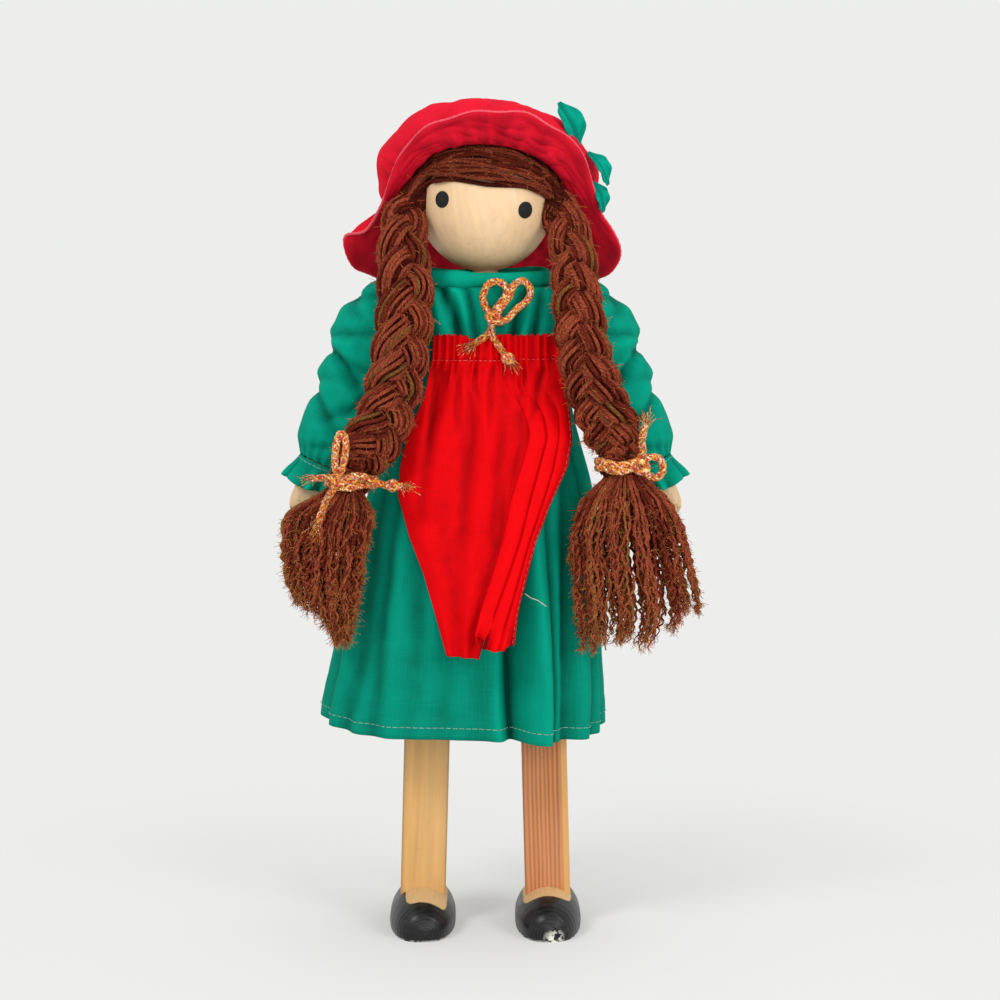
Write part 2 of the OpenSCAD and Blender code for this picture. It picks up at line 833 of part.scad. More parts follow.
// Point on an arm's clothes: distance down the arm, then half sizes outside, inside and to the sides
function arm_at(a, s, out, inside, side) = [(cos(a) > 0 ? out : inside) * cos(a), side * sin(a), -s];

function sleeve_at(a, t, inset) =
    let(s = smooth(sleeve_shares, t))
    arm_at(
        a, s[0] * wrist_at + inset * (1 - ease(6 * t)), s[1] * sleeve_out - inset,
        s[2] * sleeve_in - inset, s[3] * sleeve_side - inset
    );

module sleeve(right) {
    levels = [for (i = [sleeve_rings - 1 : -1 : 0]) i / (sleeve_rings - 1)];
    color([0.04, 0.56, 0.47])
        difference() {
            on_arm(right)
                skin(concat(
                    [for (t = levels) ring_of(sleeve_sides, function(a) sleeve_at(a, t, 0))],
                    [for (i = [sleeve_rings - 1 : -1 : 0]) ring_of(
                        sleeve_sides, function(a) sleeve_at(a, levels[i], cloth_t)
                    )]
                ), true);
            body_side(right, soft_gap);
            on_arm(right)
                translate([-arm_w / 2 - soft_gap, -arm_d / 2 - soft_gap, -upper_arm_len / 2])
                    cube([arm_w + 2 * soft_gap, arm_d + 2 * soft_gap, upper_arm_len / 2 + arm_d / 2 + soft_gap]);
            shoulder_rod(right, shoulder_peg_d + 2 * soft_gap, 0, shoulder_x);
        }
}

cuff_sides = 36;
cuff_waves = 9;
cuff_wave_share = 0.13;

function cuff_at(a, t, inset) =
    let(
        s = sleeve_shares[len(sleeve_shares) - 1],
        wave = 1 + cuff_wave_share * t * cos(a * cuff_waves)
    )
    arm_at(
        a, wrist_at + soft_gap + cuff_len * t, mix(s[1] * sleeve_out, cuff_r, t) * wave - inset,
        mix(s[2] * sleeve_in, cuff_r, t) * wave - inset, mix(s[3] * sleeve_side, cuff_r, t) * wave - inset
    );

module cuff(right) {
    color([0.04, 0.56, 0.47])
        on_arm(right)
            skin(concat(
                [for (t = [1, 0.5, 0]) ring_of(cuff_sides, function(a) cuff_at(a, t, 0))],
                [for (t = [0, 0.5, 1]) ring_of(cuff_sides, function(a) cuff_at(a, t, cloth_t))]
            ), true);
}

// Apron

// Left and right edges at evenly spaced heights from the top edge to the hem
apron_left_shares = [0.59, 0.61, 0.71, 0.85, 0.96, 0.99, 0.88, 0.75, 0.63, 0.53, 0.43];
apron_right_shares = [0.84, 0.86, 0.96, 1, 0.95, 0.80, 0.65, 0.53, 0.43, 0.34, 0.24];
// How flat the apron hangs across the front, as a multiple of its half width
apron_curve_share = 1.6;
apron_columns = 20;
apron_rows = 12;
apron_folds = 5;

// Front of the bodice and skirt at a height, and at a place across it
function skirt_share_at(z) = smooth(skirt_shares, (seam_h - z) / (seam_h - hem_h));
function front_at(z) = skirt_share_at(z)[2] * hem_front;
function half_at(x, z) = x > 0 ? skirt_share_at(z)[1] * hem_right : skirt_share_at(z)[0] * hem_left;
function across(x, half) = abs(x) < half ? pow(1 - pow(abs(x) / half, square_share), 1 / square_share) : 0;

function apron_at(u, t, inset) =
    let(
        z = apron_top - apron_len * t,
        x = mix(-apron_x * smooth(apron_left_shares, t), apron_x * smooth(apron_right_shares, t), u),
        flat = sqrt(1 - pow(x / (apron_x * apron_curve_share), 2)),
        lie = front_at(z) * max(across(x, half_at(x, z)), flat),
        fold = apron_fold_d * ease(2 * t) * u * (0.5 + 0.5 * cos(360 * u * apron_folds))
    )
    [x, -lie - 2 * soft_gap - fold - inset, z];

module apron() {
    rows = [for (i = [0 : apron_rows]) i / apron_rows];
    columns = [for (i = [0 : apron_columns]) i / apron_columns];
    color([0.88, 0.04, 0.08])
        sheet(
            [for (t = rows) [for (u = columns) apron_at(u, t, 0)]],
            [for (t = rows) [for (u = columns) apron_at(u, t, apron_t)]]
        );
}

// Hat

// Middle of the seam, from the middle of the head, as a share of the head's radius
hat_at_shares = [0, 0.175, 0.155];
hat_at = [0, 0, head_z] + hat_at_shares * head_r;
hat_up = [0, sin(hat_tilt), cos(hat_tilt)];
hat_front = [0, -cos(hat_tilt), sin(hat_tilt)];
hat_sides = 48;

// Rolls a point of the hat about the middle of the head
function rolled(p) =
    let(c = cos(hat_roll), s = sin(hat_roll), h = p[2] - head_z)
    [p[0] * c + h * s, p[1], head_z + h * c - p[0] * s];

// Crown from the seam to the top: height, radius and backward shift shares
crown_shares = [
    [0, 0.72, 0], [0.05, 0.86, 0.02], [0.14, 0.965, 0.05], [0.30, 1, 0.08], [0.50, 0.93, 0.09],
    [0.70, 0.74, 0.09], [0.87, 0.50, 0.09], [0.97, 0.24, 0.09], [1, 0.05, 0.09]
];
crown_rings = 10;
crown_lining_rings = 6;
crown_gathers = 12;
crown_gather_share = 0.04;

function crown_at(a, t, inset) =
    let(
        s = smooth(crown_shares, t),
        gather = 1 - crown_gather_share * (1 - t) * ease(4 * t) * (1 + cos(a * crown_gathers)) / 2,
        r = max((t == 0 ? hat_seam_r : s[1] * crown_r * gather) - inset, cloth_t)
    )
    rolled(
        hat_at + hat_up * (s[0] * crown_h - inset * ease(3 * t)) + hat_front * (r * cos(a) - s[2] * crown_r)
            + [r * sin(a), 0, 0]
    );

module hat_crown() {
    color([0.85, 0.11, 0.20])
        skin(concat(
            [for (i = [crown_lining_rings - 1 : -1 : 0]) ring_of(
                hat_sides, function(a) crown_at(a, i / (crown_lining_rings - 1), cloth_t)
            )],
            [for (i = [0 : crown_rings - 1]) ring_of(
                hat_sides, function(a) crown_at(a, i / (crown_rings - 1), 0)
            )]
        ));
}

brim_sides = 63;
brim_waves = 9;
brim_phase = 40;

// Edge of the brim from the front round by the right: shares of its half width, half depth and half height
brim_edge_shares = [
    [0.008, -0.976, 0.932], [0.267, -0.928, 0.916], [0.472, -0.797, 0.751], [0.667, -0.583, 0.475],
    [0.745, -0.345, 0.132], [0.825, -0.119, -0.254], [0.955, 0.072, -0.57], [0.917, 0.298, -0.868],
    [0.767, 0.548, -1.016], [0.6, 0.738, -1.079], [0.417, 0.881, -1.119], [0.208, 0.965, -1.133],
    [0, 0.993, -1.133], [-0.208, 0.965, -1.119], [-0.417, 0.881, -1.092], [-0.6, 0.738, -1.052],
    [-0.775, 0.524, -0.97], [-0.933, 0.31, -0.822], [-1.005, 0.119, -0.525], [-0.842, -0.035, -0.389],
    [-0.733, -0.226, -0.092], [-0.592, -0.512, 0.421], [-0.447, -0.75, 0.716], [-0.235, -0.904, 0.873]
];
brim_places = len(brim_edge_shares);
brim_loop_shares = [for (k = [brim_places - 1 : 2 * brim_places + 1]) brim_edge_shares[k % brim_places]];

function brim_edge_at(a) =
    let(s = smooth(brim_loop_shares, (a / 360 * brim_places + 1) / (brim_places + 2)))
    hat_at + [s[0] * brim_x, s[1] * brim_y, s[2] * brim_rise];

function brim_at(a, t, lift) =
    let(
        seam = hat_at + hat_front * (hat_seam_r * cos(a)) + [hat_seam_r * sin(a), 0, 0],
        wave = brim_wave * t * t * pow(sin(a), 2) * cos(a * brim_waves + brim_phase)
    )
    mix(rolled(seam), brim_edge_at(a), t) + hat_up * (wave - soft_gap - cloth_t + lift);

module hat_brim() {
    color([0.85, 0.11, 0.20])
        skin(concat(
            [for (t = [0 : 0.25 : 1]) ring_of(brim_sides, function(a) brim_at(a, t, 0))],
            [for (t = [1 : -0.25 : 0]) ring_of(brim_sides, function(a) brim_at(a, t, cloth_t))]
        ), true);
}

// Cloth leaf from its stalk to its tip, folded up along both edges
leaf_rows = 7;
leaf_columns = 6;
leaf_cup_share = 0.3;

function leaf_at(from, to, face, half_w, u, t, lift) =
    let(
        along = unit(to - from),
        wide = unit(cross(face, along)),
        up = cross(along, wide),
        half = half_w * max(0.12, pow(sin(180 * mix(0.04, 0.97, t)), 0.8))
    )
    mix(from, to, t) + wide * (half * u) + up * (half * leaf_cup_share * 2 * (u * u + 0.6 * sin(180 * t)) + lift);

// The place is a share of the crown's radius from the middle of the hat's seam, and so is the way to the tip
module leaf(place_share, way, face, size_share) {
    from = hat_at + place_share * crown_r;
    to = from + unit(way) * leaf_len * size_share;
    rows = [for (i = [0 : leaf_rows]) i / leaf_rows];
    columns = [for (i = [-leaf_columns / 2 : leaf_columns / 2]) 2 * i / leaf_columns];
    half_w = leaf_w / 2 * size_share;
    color([0.05, 0.60, 0.52])
        sheet(
            [for (t = rows) [for (u = columns) leaf_at(from, to, face, half_w, u, t, 0)]],
            [for (t = rows) [for (u = columns) leaf_at(from, to, face, half_w, u, t, cloth_t)]]
        );
}

module hat_leaf_upper() { leaf([0.868, -0.212, 0.40], [-9, -3, 19], [0.6, -0.8, 0], 1); }
module hat_leaf_middle() { leaf([0.885, -0.19, 0.35], [9, 1, -15], [0.7, -0.6, 0.3], 0.8); }
module hat_leaf_lower() { leaf([1.0, -0.148, 0.08], [5, 2, -12], [0.7, -0.7, 0], 0.68); }

// Cords, whose routes run through points chosen by hand

bow_left_route = [
    [3, -28.5, 267], [0.3, -27.4, 270], [-1, -27.2, 274.5], [0.8, -27, 279.5], [4.8, -26.8, 281],
    [8.3, -27, 279], [8.6, -27.4, 275.5], [4, -29, 269.5]
];
bow_right_route = [
    [4.5, -30.5, 266], [6.2, -29, 270], [10, -27.5, 275], [11.8, -27, 279.5], [15.6, -26.8, 281.3],
    [18.6, -27, 278], [17.6, -27.2, 273.5], [12.8, -27.8, 269.5], [9, -28.6, 265.6], [4.5, -30, 264]
];
bow_long_route = [
    [2.6, -30, 265], [2.6, -31.2, 259.5], [4.6, -32, 256], [7.4, -32, 252], [9.6, -32, 248.5]
];
bow_short_route = [[3, -31, 262], [0.5, -31.6, 259], [-4.8, -31.8, 255.6]];

module chest_bow() {
    color([0.80, 0.55, 0.35]) {
        tube(bow_left_route, cord_d, 14, start_knot = true);
        tube(bow_right_route, cord_d, 16);
        tube(bow_long_route, cord_d, 8, end_knot = true);
        tube(bow_short_route, cord_d, 5);
    }
}

tie_left_loop_route = [
    [-60.2, -45.3, 199.8], [-61.5, -49.4, 207], [-61, -51.5, 215], [-59.5, -51.8, 220], [-57.6, -51.6, 219.5],
    [-57, -51, 214], [-58.5, -49.5, 206.5], [-60.9, -46, 201]
];
tie_left_long_route = [
    [-59.4, -45.6, 200.4], [-56, -47.6, 202], [-51, -48.5, 202.5], [-45, -49, 200], [-39.5, -49.5, 198.5],
    [-34, -50, 198.5]
];
tie_left_low_route = [[-60.6, -45.5, 199.2], [-65, -50.5, 193], [-68.5, -52, 184]];
tie_left_stub_route = [[-61, -45.2, 200.7], [-66, -47, 201.5], [-71, -45.5, 201]];
tie_right_up_route = [[61, -44.8, 206], [64.5, -48.5, 212], [64, -50, 217], [65.5, -50, 224]];
tie_right_loop_route = [
    [61, -44.8, 206], [66.5, -48, 210], [71.5, -47.5, 209.5], [73, -47, 204.5], [69.5, -47.5, 201.5],
    [64.5, -47, 205]
];
wrap_sides = 20;
wrap_shares = [0.94, 0.88];

// Two turns of cord round the waist of a plait, near its end
module plait_wrap(shares) {
    r = plait_waist_share * (plait_swing + strand_r) + 3 * soft_gap + cord_d / 2;
    for (t = wrap_shares) {
        along = heading(shares, t);
        side = unit([1, 0, 0] - along * along[0]);
        out = cross(along, side);
        translate(plait_at(shares, t))
            skin([
                for (k = [0 : wrap_sides - 1])
                    let(a = 360 * k / wrap_sides)
                    section(
                        side * (r * cos(a)) + out * (r * sin(a)), out * cos(a) - side * sin(a), along,
                        cord_d / 2, cord_d / 2, 8
                    )
            ], true);
    }
}

module plait_tie_left() {
    color([0.80, 0.55, 0.35]) {
        plait_wrap(plait_left_shares);
        tube(tie_left_loop_route, cord_d, 14, start_knot = true);
        tube(tie_left_long_route, cord_d, 9, end_knot = true);
        tube(tie_left_low_route, cord_d, 5);
        tube(tie_left_stub_route, cord_d, 4);
    }
}

module plait_tie_right() {
    color([0.80, 0.55, 0.35]) {
        plait_wrap(plait_right_shares);
        tube(tie_right_up_route, cord_d, 7);
        tube(tie_right_loop_route, cord_d, 12, start_knot = true);
    }
}

torso();
neck_peg();
head();
eye(false);  // eye_left
eye(true);  // eye_right
hair_hank();
plait_left();
plait_right();
tassel_left();
tassel_right();
plait_tie_left();
plait_tie_right();
hat_crown();
hat_brim();
hat_leaf_upper();
hat_leaf_middle();
hat_leaf_lower();
dress_bodice();
neck_band();
chest_bow();
dress_skirt();
apron();
shoulder_peg(false);  // shoulder_peg_left
shoulder_peg(true);  // shoulder_peg_right
upper_arm(false);  // upper_arm_left
upper_arm(true);  // upper_arm_right
elbow_peg(false);  // elbow_peg_left
elbow_peg(true);  // elbow_peg_right
forearm(false);  // forearm_left
forearm(true);  // forearm_right
sleeve(false);  // sleeve_left
sleeve(true);  // sleeve_right
cuff(false);  // cuff_left
cuff(true);  // cuff_right
hip_dowel();
thigh(false);  // thigh_left
thigh(true);  // thigh_right
knee_peg(false);  // knee_peg_left
knee_peg(true);  // knee_peg_right
shin(false);  // shin_left
shin(true);  // shin_right
foot(false);  // foot_left
foot(true);  // foot_right
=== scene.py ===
"""Pegged wooden doll with yarn plaits, a cloth dress, an apron and a brimmed hat, dressed over its fixed frame.

Lengths inside the shape functions are in millimetres, and each piece is made in metres.
The doll faces -Y and stands on z = 0. Left and right are as seen from the front, so left is -X.
"""

import math
import random

import bmesh
import bpy
import numpy as np
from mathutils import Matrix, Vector, noise


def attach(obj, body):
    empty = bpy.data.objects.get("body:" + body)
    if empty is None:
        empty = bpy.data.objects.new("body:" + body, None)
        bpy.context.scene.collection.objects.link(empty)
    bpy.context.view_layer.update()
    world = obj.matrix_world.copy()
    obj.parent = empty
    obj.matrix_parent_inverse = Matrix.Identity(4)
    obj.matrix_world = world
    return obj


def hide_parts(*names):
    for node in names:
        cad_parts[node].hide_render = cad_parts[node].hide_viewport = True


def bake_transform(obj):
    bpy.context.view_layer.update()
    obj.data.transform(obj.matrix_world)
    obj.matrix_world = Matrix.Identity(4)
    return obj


bl_info = {
    "name": "Pegged wooden doll",
    "version": (1, 0, 0),
    "blender": (4, 5, 0),
    "location": "View3D > Sidebar > Doll",
    "description": "Dresses a pegged wooden doll in cloth, yarn, cord and turned wood",
    "category": "Add Mesh",
}

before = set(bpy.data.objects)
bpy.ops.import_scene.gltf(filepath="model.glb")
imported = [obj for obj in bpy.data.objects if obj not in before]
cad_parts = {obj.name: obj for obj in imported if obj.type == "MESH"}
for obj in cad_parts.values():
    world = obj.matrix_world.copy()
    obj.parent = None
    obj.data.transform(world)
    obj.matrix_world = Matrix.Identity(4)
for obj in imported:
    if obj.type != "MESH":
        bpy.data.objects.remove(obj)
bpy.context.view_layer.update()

MM = 0.001

# Sizes shared by the pieces, in millimetres
HEAD_Z = 312.49
HEAD_R = 28.5
SEAM_H = 248.0
HEM_H = 90.0
HEM_LEFT = 73.0
HEM_RIGHT = 52.5
HEM_FRONT = 50.0
HEM_BACK = 46.0
TORSO_HALF = 31.0
BODICE_FRONT = 25.0
BODICE_BACK = 21.0
BODICE_TOP = 278.49
APRON_TOP = 259.0
SHOULDER_X = 39.99
SHOULDER_Z = 267.99
ARM_SPLAY = math.radians(23.4)
WRIST_AT = 72.0
SQUARE = 2.3
HAIR_ROLL = 7.2
HAT_R = 48
WAIST_SHARE = 0.68
PLAIT_SWING = 5.6
PLAIT_STRAND_R = 6.0
PLAIT_YARNS = 24
PLAIT_RINGS = 132
CORD_D = 3.2
CORD_TONES = 4
STRAND_R = 0.56
BRAID_STEP = 0.62
BRAID_LAY = 9.5
STITCH_STEP = 0.4
FIBRE_R = 0.075
FIBRE_SPREAD = 0.8

# The depth of the weave, in metres
WEAVE_DEPTH = 0.00008

# The camera, as the photograph was taken
CAMERA_AT = (0, -1.1, 0.335)
CAMERA_DOWN = 7.714
CAMERA_LENS = 92.98
CAMERA_SHIFT = 0.0146


def colour(red, green, blue):
    """Linear colour from the numbers on a screen, 0 to 255."""
    return tuple(
        (c / 255 / 12.92 if c <= 10 else ((c / 255 + 0.055) / 1.055) ** 2.4) for c in (red, green, blue)
    ) + (1.0,)


# Small sums


def mix(a, b, t):
    return a + (b - a) * t


def ease(t):
    u = min(max(t, 0.0), 1.0)
    return u * u * (3 - 2 * u)


def smooth(values, t):
    """Value at t, from 0 to 1, of a smooth curve through evenly spaced values or points."""
    last = len(values) - 1
    u = min(max(t, 0.0), 1.0) * last
    i = min(int(u), last - 1)
    f = u - i
    a, b, c, d = values[max(i - 1, 0)], values[i], values[i + 1], values[min(i + 2, last)]
    return (
        b
        + (c - a) * (f / 2)
        + (2 * a - 5 * b + 4 * c - d) * (f * f / 2)
        + (3 * b - a - 3 * c + d) * (f * f * f / 2)
    )


def read(table, place, column=1):
    """Value in a column of a table whose first column is a falling or rising place."""
    keys = table[:, 0]
    if keys[0] > keys[-1]:
        return float(np.interp(-place, -keys, table[:, column]))
    return float(np.interp(place, keys, table[:, column]))


def power(value, exponent):
    return math.copysign(abs(value) ** exponent, value)


def round_at(a, left, right, front, back):
    """Point at angle a, in degrees, of a rounded outline seen from above."""
    c, s = math.cos(math.radians(a)), math.sin(math.radians(a))
    return (
        (right if c > 0 else left) * power(c, 2 / SQUARE),
        (back if s > 0 else front) * power(s, 2 / SQUARE),
    )


def ripple(x, y, z, size, seed=0.0):
    """Soft unevenness between -1 and 1, whose swells are about size across."""
    return noise.noise(Vector((x / size + seed, y / size - seed, z / size + 2 * seed)))


def route_points(points, step):
    """Points evenly spread along a smooth route, with the directions of travel."""
    points = np.array(points, float)
    fine = np.array([smooth(points, i / 400) for i in range(401)])
    gaps = np.linalg.norm(np.diff(fine, axis=0), axis=1)
    along = np.concatenate([[0], np.cumsum(gaps)])
    count = max(int(along[-1] / step) + 1, 3)
    places = np.linspace(0, along[-1], count)
    spread = np.stack([np.interp(places, along, fine[:, k]) for k in range(3)], axis=1)
    heading = np.gradient(spread, axis=0)
    heading /= np.linalg.norm(heading, axis=1)[:, None]
    return spread, heading, along[-1]


def side_frames(heading, first=(0.0, 1.0, 0.0)):
    """Two directions across a route at each of its points, which turn as little as they can."""
    side = np.array(first, float)
    sides = []
    for way in heading:
        side = side - way * side.dot(way)
        side /= np.linalg.norm(side)
        sides.append(side)
    sides = np.array(sides)
    return sides, np.cross(heading, sides)


# Tables of shapes

SKIRT = np.array([
    (0.445, 0.635, 0.55, 0.50), (0.60, 0.72, 0.64, 0.63), (0.68, 0.86, 0.74, 0.73), (0.77, 0.92, 0.83, 0.82),
    (0.85, 0.96, 0.90, 0.90), (0.92, 0.99, 0.96, 0.96), (1, 1, 1, 1),
])
BODICE = np.array([
    (0, 1, 1.04, 1.02), (0.18, 1, 1.03, 1.01), (0.36, 1, 1.01, 1), (0.54, 1, 1, 1), (0.70, 1, 0.99, 0.99),
    (0.82, 1, 0.975, 0.975), (0.925, 0.99, 0.95, 0.95), (0.985, 0.93, 0.90, 0.90), (1, 0.80, 0.80, 0.80),
])
SLEEVE = np.array([
    (-0.155, 0.10, 0.13, 0.10), (-0.13, 0.50, 0.50, 0.50), (-0.03, 0.80, 0.68, 0.76), (0.10, 0.98, 0.72, 0.95),
    (0.22, 1, 0.80, 1), (0.33, 0.98, 0.84, 0.98), (0.42, 0.88, 0.86, 0.85), (0.54, 0.95, 0.98, 0.95),
    (0.68, 0.88, 1, 0.92), (0.82, 0.85, 1, 0.86), (0.92, 0.78, 0.92, 0.76), (1, 0.58, 0.80, 0.56),
])
CROWN = np.array([
    (0, 0.72, 0), (0.05, 0.86, 0.02), (0.14, 0.965, 0.05), (0.30, 1, 0.08), (0.50, 0.93, 0.09),
    (0.70, 0.74, 0.09), (0.87, 0.50, 0.09), (0.97, 0.24, 0.09), (1, 0, 0.09),
])
# Left and right edges of the apron, and its three fold lines, by height
APRON_EDGES = np.array([
    (259.2, -21.1, 31.6), (249.0, -21.6, 31.7), (233.0, -25.7, 34.8), (216.2, -32.9, 36.3), (204.2, -35.6, 34.1),
    (191.9, -36.5, 28.1), (175.4, -31.6, 20.9), (160.9, -25.8, 17.0), (146.5, -21.5, 13.7), (134.0, -18.0, 12.0),
    (127.0, -15.9, 10.6),
])
APRON_FOLDS = np.array([
    (236.0, 24.0, 29.0, 32.6), (216.7, 18.3, 25.7, 30.6), (204.7, 14.6, 22.4, 28.4), (192.2, 10.7, 18.9, 24.5),
    (175.6, 7.1, 14.7, 18.6), (160.9, 2.7, 9.6, 14.3), (146.3, -2.2, 4.4, 10.0), (134.5, -5.1, 0.2, 6.1),
    (127.0, -6.8, -2.2, 3.6),
])


def share_route(shares):
    """Route in millimetres from shares of the doll's height to the top of its head."""
    return np.array(shares) * (HEAD_Z + HEAD_R)


PLAIT_LEFT = share_route([
    (-0.099, -0.0385, 0.906), (-0.1, -0.073, 0.857), (-0.097, -0.1, 0.806), (-0.101, -0.112, 0.751),
    (-0.111, -0.113, 0.7), (-0.126, -0.113, 0.651), (-0.148, -0.112, 0.618), (-0.161, -0.110, 0.600),
    (-0.163, -0.109, 0.587), (-0.163, -0.109, 0.574),
])
PLAIT_RIGHT = share_route([
    (0.0925, -0.0375, 0.908), (0.107, -0.073, 0.857), (0.1095, -0.098, 0.812), (0.1155, -0.112, 0.765),
    (0.1245, -0.113, 0.718), (0.139, -0.113, 0.677), (0.155, -0.112, 0.642), (0.163, -0.110, 0.620),
    (0.165, -0.109, 0.607), (0.165, -0.109, 0.594),
])
TASSEL_LEFT = np.array([
    (-0.2, 0.45, 0.6), (-0.5, 1.04, 0.9), (-0.62, 1.08, 1), (-0.66, 1.03, 1), (-0.66, 0.94, 1), (-0.6, 0.77, 0.9),
    (-0.5, 0.52, 0.75), (-0.42, 0.24, 0.5),
])
TASSEL_RIGHT = np.array([
    (0.06, 0.3, 0.6), (0.08, 0.72, 0.9), (0.11, 0.95, 1), (0.16, 1.05, 1), (0.23, 1.1, 1), (0.3, 1.12, 0.9),
    (0.28, 1.06, 0.8), (0.12, 0.8, 0.6),
])

# Settings a user would change


def sized(label, words, value):
    return bpy.props.FloatProperty(name=label, description=words, default=value, unit="LENGTH", min=0.0)


def painted(label, words, red, green, blue):
    return bpy.props.FloatVectorProperty(
        name=label, description=words, default=colour(red, green, blue), subtype="COLOR", size=4, min=0, max=1
    )


class DollSizes(bpy.types.PropertyGroup):
    """Thicknesses of the doll's cloths."""

    dress_cloth: sized("Dress cloth", "Thickness of the dress cloth", 0.0007)
    apron_cloth: sized("Apron cloth", "Thickness of the apron cloth", 0.0007)
    hat_cloth: sized("Hat cloth", "Thickness of the hat cloth", 0.0009)


class DollColours(bpy.types.PropertyGroup):
    """Colours of the doll's cloth, yarn, cord, paint and wood."""

    hat: painted("Hat", "Red cotton of the hat", 224, 24, 48)
    # Painted highlight: the colour of the brim's folded edge
    hat_edge_highlight: painted("Hat edge", "Painted highlight along the brim's folded edge", 240, 96, 110)
    leaf: painted("Leaves", "Green cloth of the leaves", 0, 152, 130)
    dress: painted("Dress", "Green cloth of the dress", 0, 142, 117)
    apron: painted("Apron", "Red cloth of the apron", 220, 2, 10)
    yarn: painted("Yarn", "Brown of most of the hair", 160, 75, 50)
    yarn_dark: painted("Dark yarn", "Darker yarns in the hair", 117, 43, 28)
    yarn_gold: painted("Golden yarn", "Golden tips of the hair", 182, 122, 64)
    head: painted("Head", "Turned wood of the head and hands", 231, 195, 150)
    leg_pale: painted("Pale leg", "Wood of the left leg", 216, 166, 98)
    leg_red: painted("Reddish leg", "Wood of the right leg", 205, 127, 68)
    paint: painted("Shoe paint", "Black paint of the shoes and eyes", 20, 20, 22)


# Materials


def add_node(tree, kind, sockets=None, **settings):
    """Adds a node, with its settings and what each of its sockets holds or is linked to."""
    made = tree.nodes.new("ShaderNode" + kind)
    for key, value in settings.items():
        setattr(made, key, value)
    for key, value in (sockets or {}).items():
        if isinstance(value, bpy.types.NodeSocket):
            tree.links.new(value, made.inputs[key])
        else:
            made.inputs[key].default_value = value
    return made


def sum_of(tree, operation, first, second=0.0, third=0.0, clamp=False):
    made = add_node(tree, "Math", {0: first, 1: second, 2: third}, operation=operation, use_clamp=clamp)
    return made.outputs[0]


def blended(tree, factor, first, second, kind="MIX"):
    made = add_node(tree, "Mix", {0: factor, 6: first, 7: second}, data_type="RGBA", blend_type=kind)
    return made.outputs[2]


def ramp(tree, factor, stops):
    """Grey ramp through (place, value) stops."""
    made = add_node(tree, "ValToRGB", {0: factor})
    band = made.color_ramp
    while len(band.elements) < len(stops):
        band.elements.new(0.5)
    for element, (place, value) in zip(band.elements, stops):
        element.position = place
        element.color = (value, value, value, 1)
    return made.outputs[0]


def spots(tree, where, scale, detail=2.0, roughness=0.5, stretch=(1, 1, 1), offset=(0, 0, 0)):
    """Noise whose coordinates are stretched first."""
    moved = add_node(tree, "Mapping", {"Vector": where, "Scale": stretch, "Location": offset})
    made = add_node(
        tree, "TexNoise", {"Vector": moved.outputs[0], "Scale": scale, "Detail": detail, "Roughness": roughness}
    )
    return made.outputs["Fac"]


def bands(tree, where, pitch, direction="X", distortion=0.0, detail=2.0, detail_scale=1.0, kind="BANDS"):
    """Even bands, pitch apart in metres."""
    made = add_node(
        tree,
        "TexWave",
        {
            "Vector": where,
            "Scale": math.pi / (10 * pitch),
            "Distortion": distortion,
            "Detail": detail,
            "Detail Scale": detail_scale,
        },
        wave_type=kind,
    )
    if kind == "BANDS":
        made.bands_direction = direction
    else:
        made.rings_direction = direction
    return made.outputs["Fac"]


def blank(name):
    """New material, with its tree and its shader."""
    made = bpy.data.materials.new(name)
    made.use_nodes = True
    return made, made.node_tree, made.node_tree.nodes["Principled BSDF"]


def set_shader(shader, **values):
    for key, value in values.items():
        shader.inputs[key.replace("_", " ")].default_value = value


def seen_rays(tree):
    """1 for the rays that show the backdrop: the camera's, and those that metal and glass send on."""
    path = add_node(tree, "LightPath").outputs
    bright = sum_of(tree, "ADD", path["Is Glossy Ray"], path["Is Transmission Ray"])
    return sum_of(tree, "ADD", path["Is Camera Ray"], bright, clamp=True)


def bump(tree, shader, height, strength, distance):
    made = add_node(tree, "Bump", {"Height": height, "Strength": strength, "Distance": distance})
    tree.links.new(made.outputs[0], shader.inputs["Normal"])


def darker(tone, share):
    """The same colour with less light, or with more where share is above 1."""
    return tuple(min(c * share, 1.0) for c in tone[:3]) + (1.0,)


def paler(tone, share):
    return tuple(mix(c, 1.0, share) for c in tone[:3]) + (1.0,)


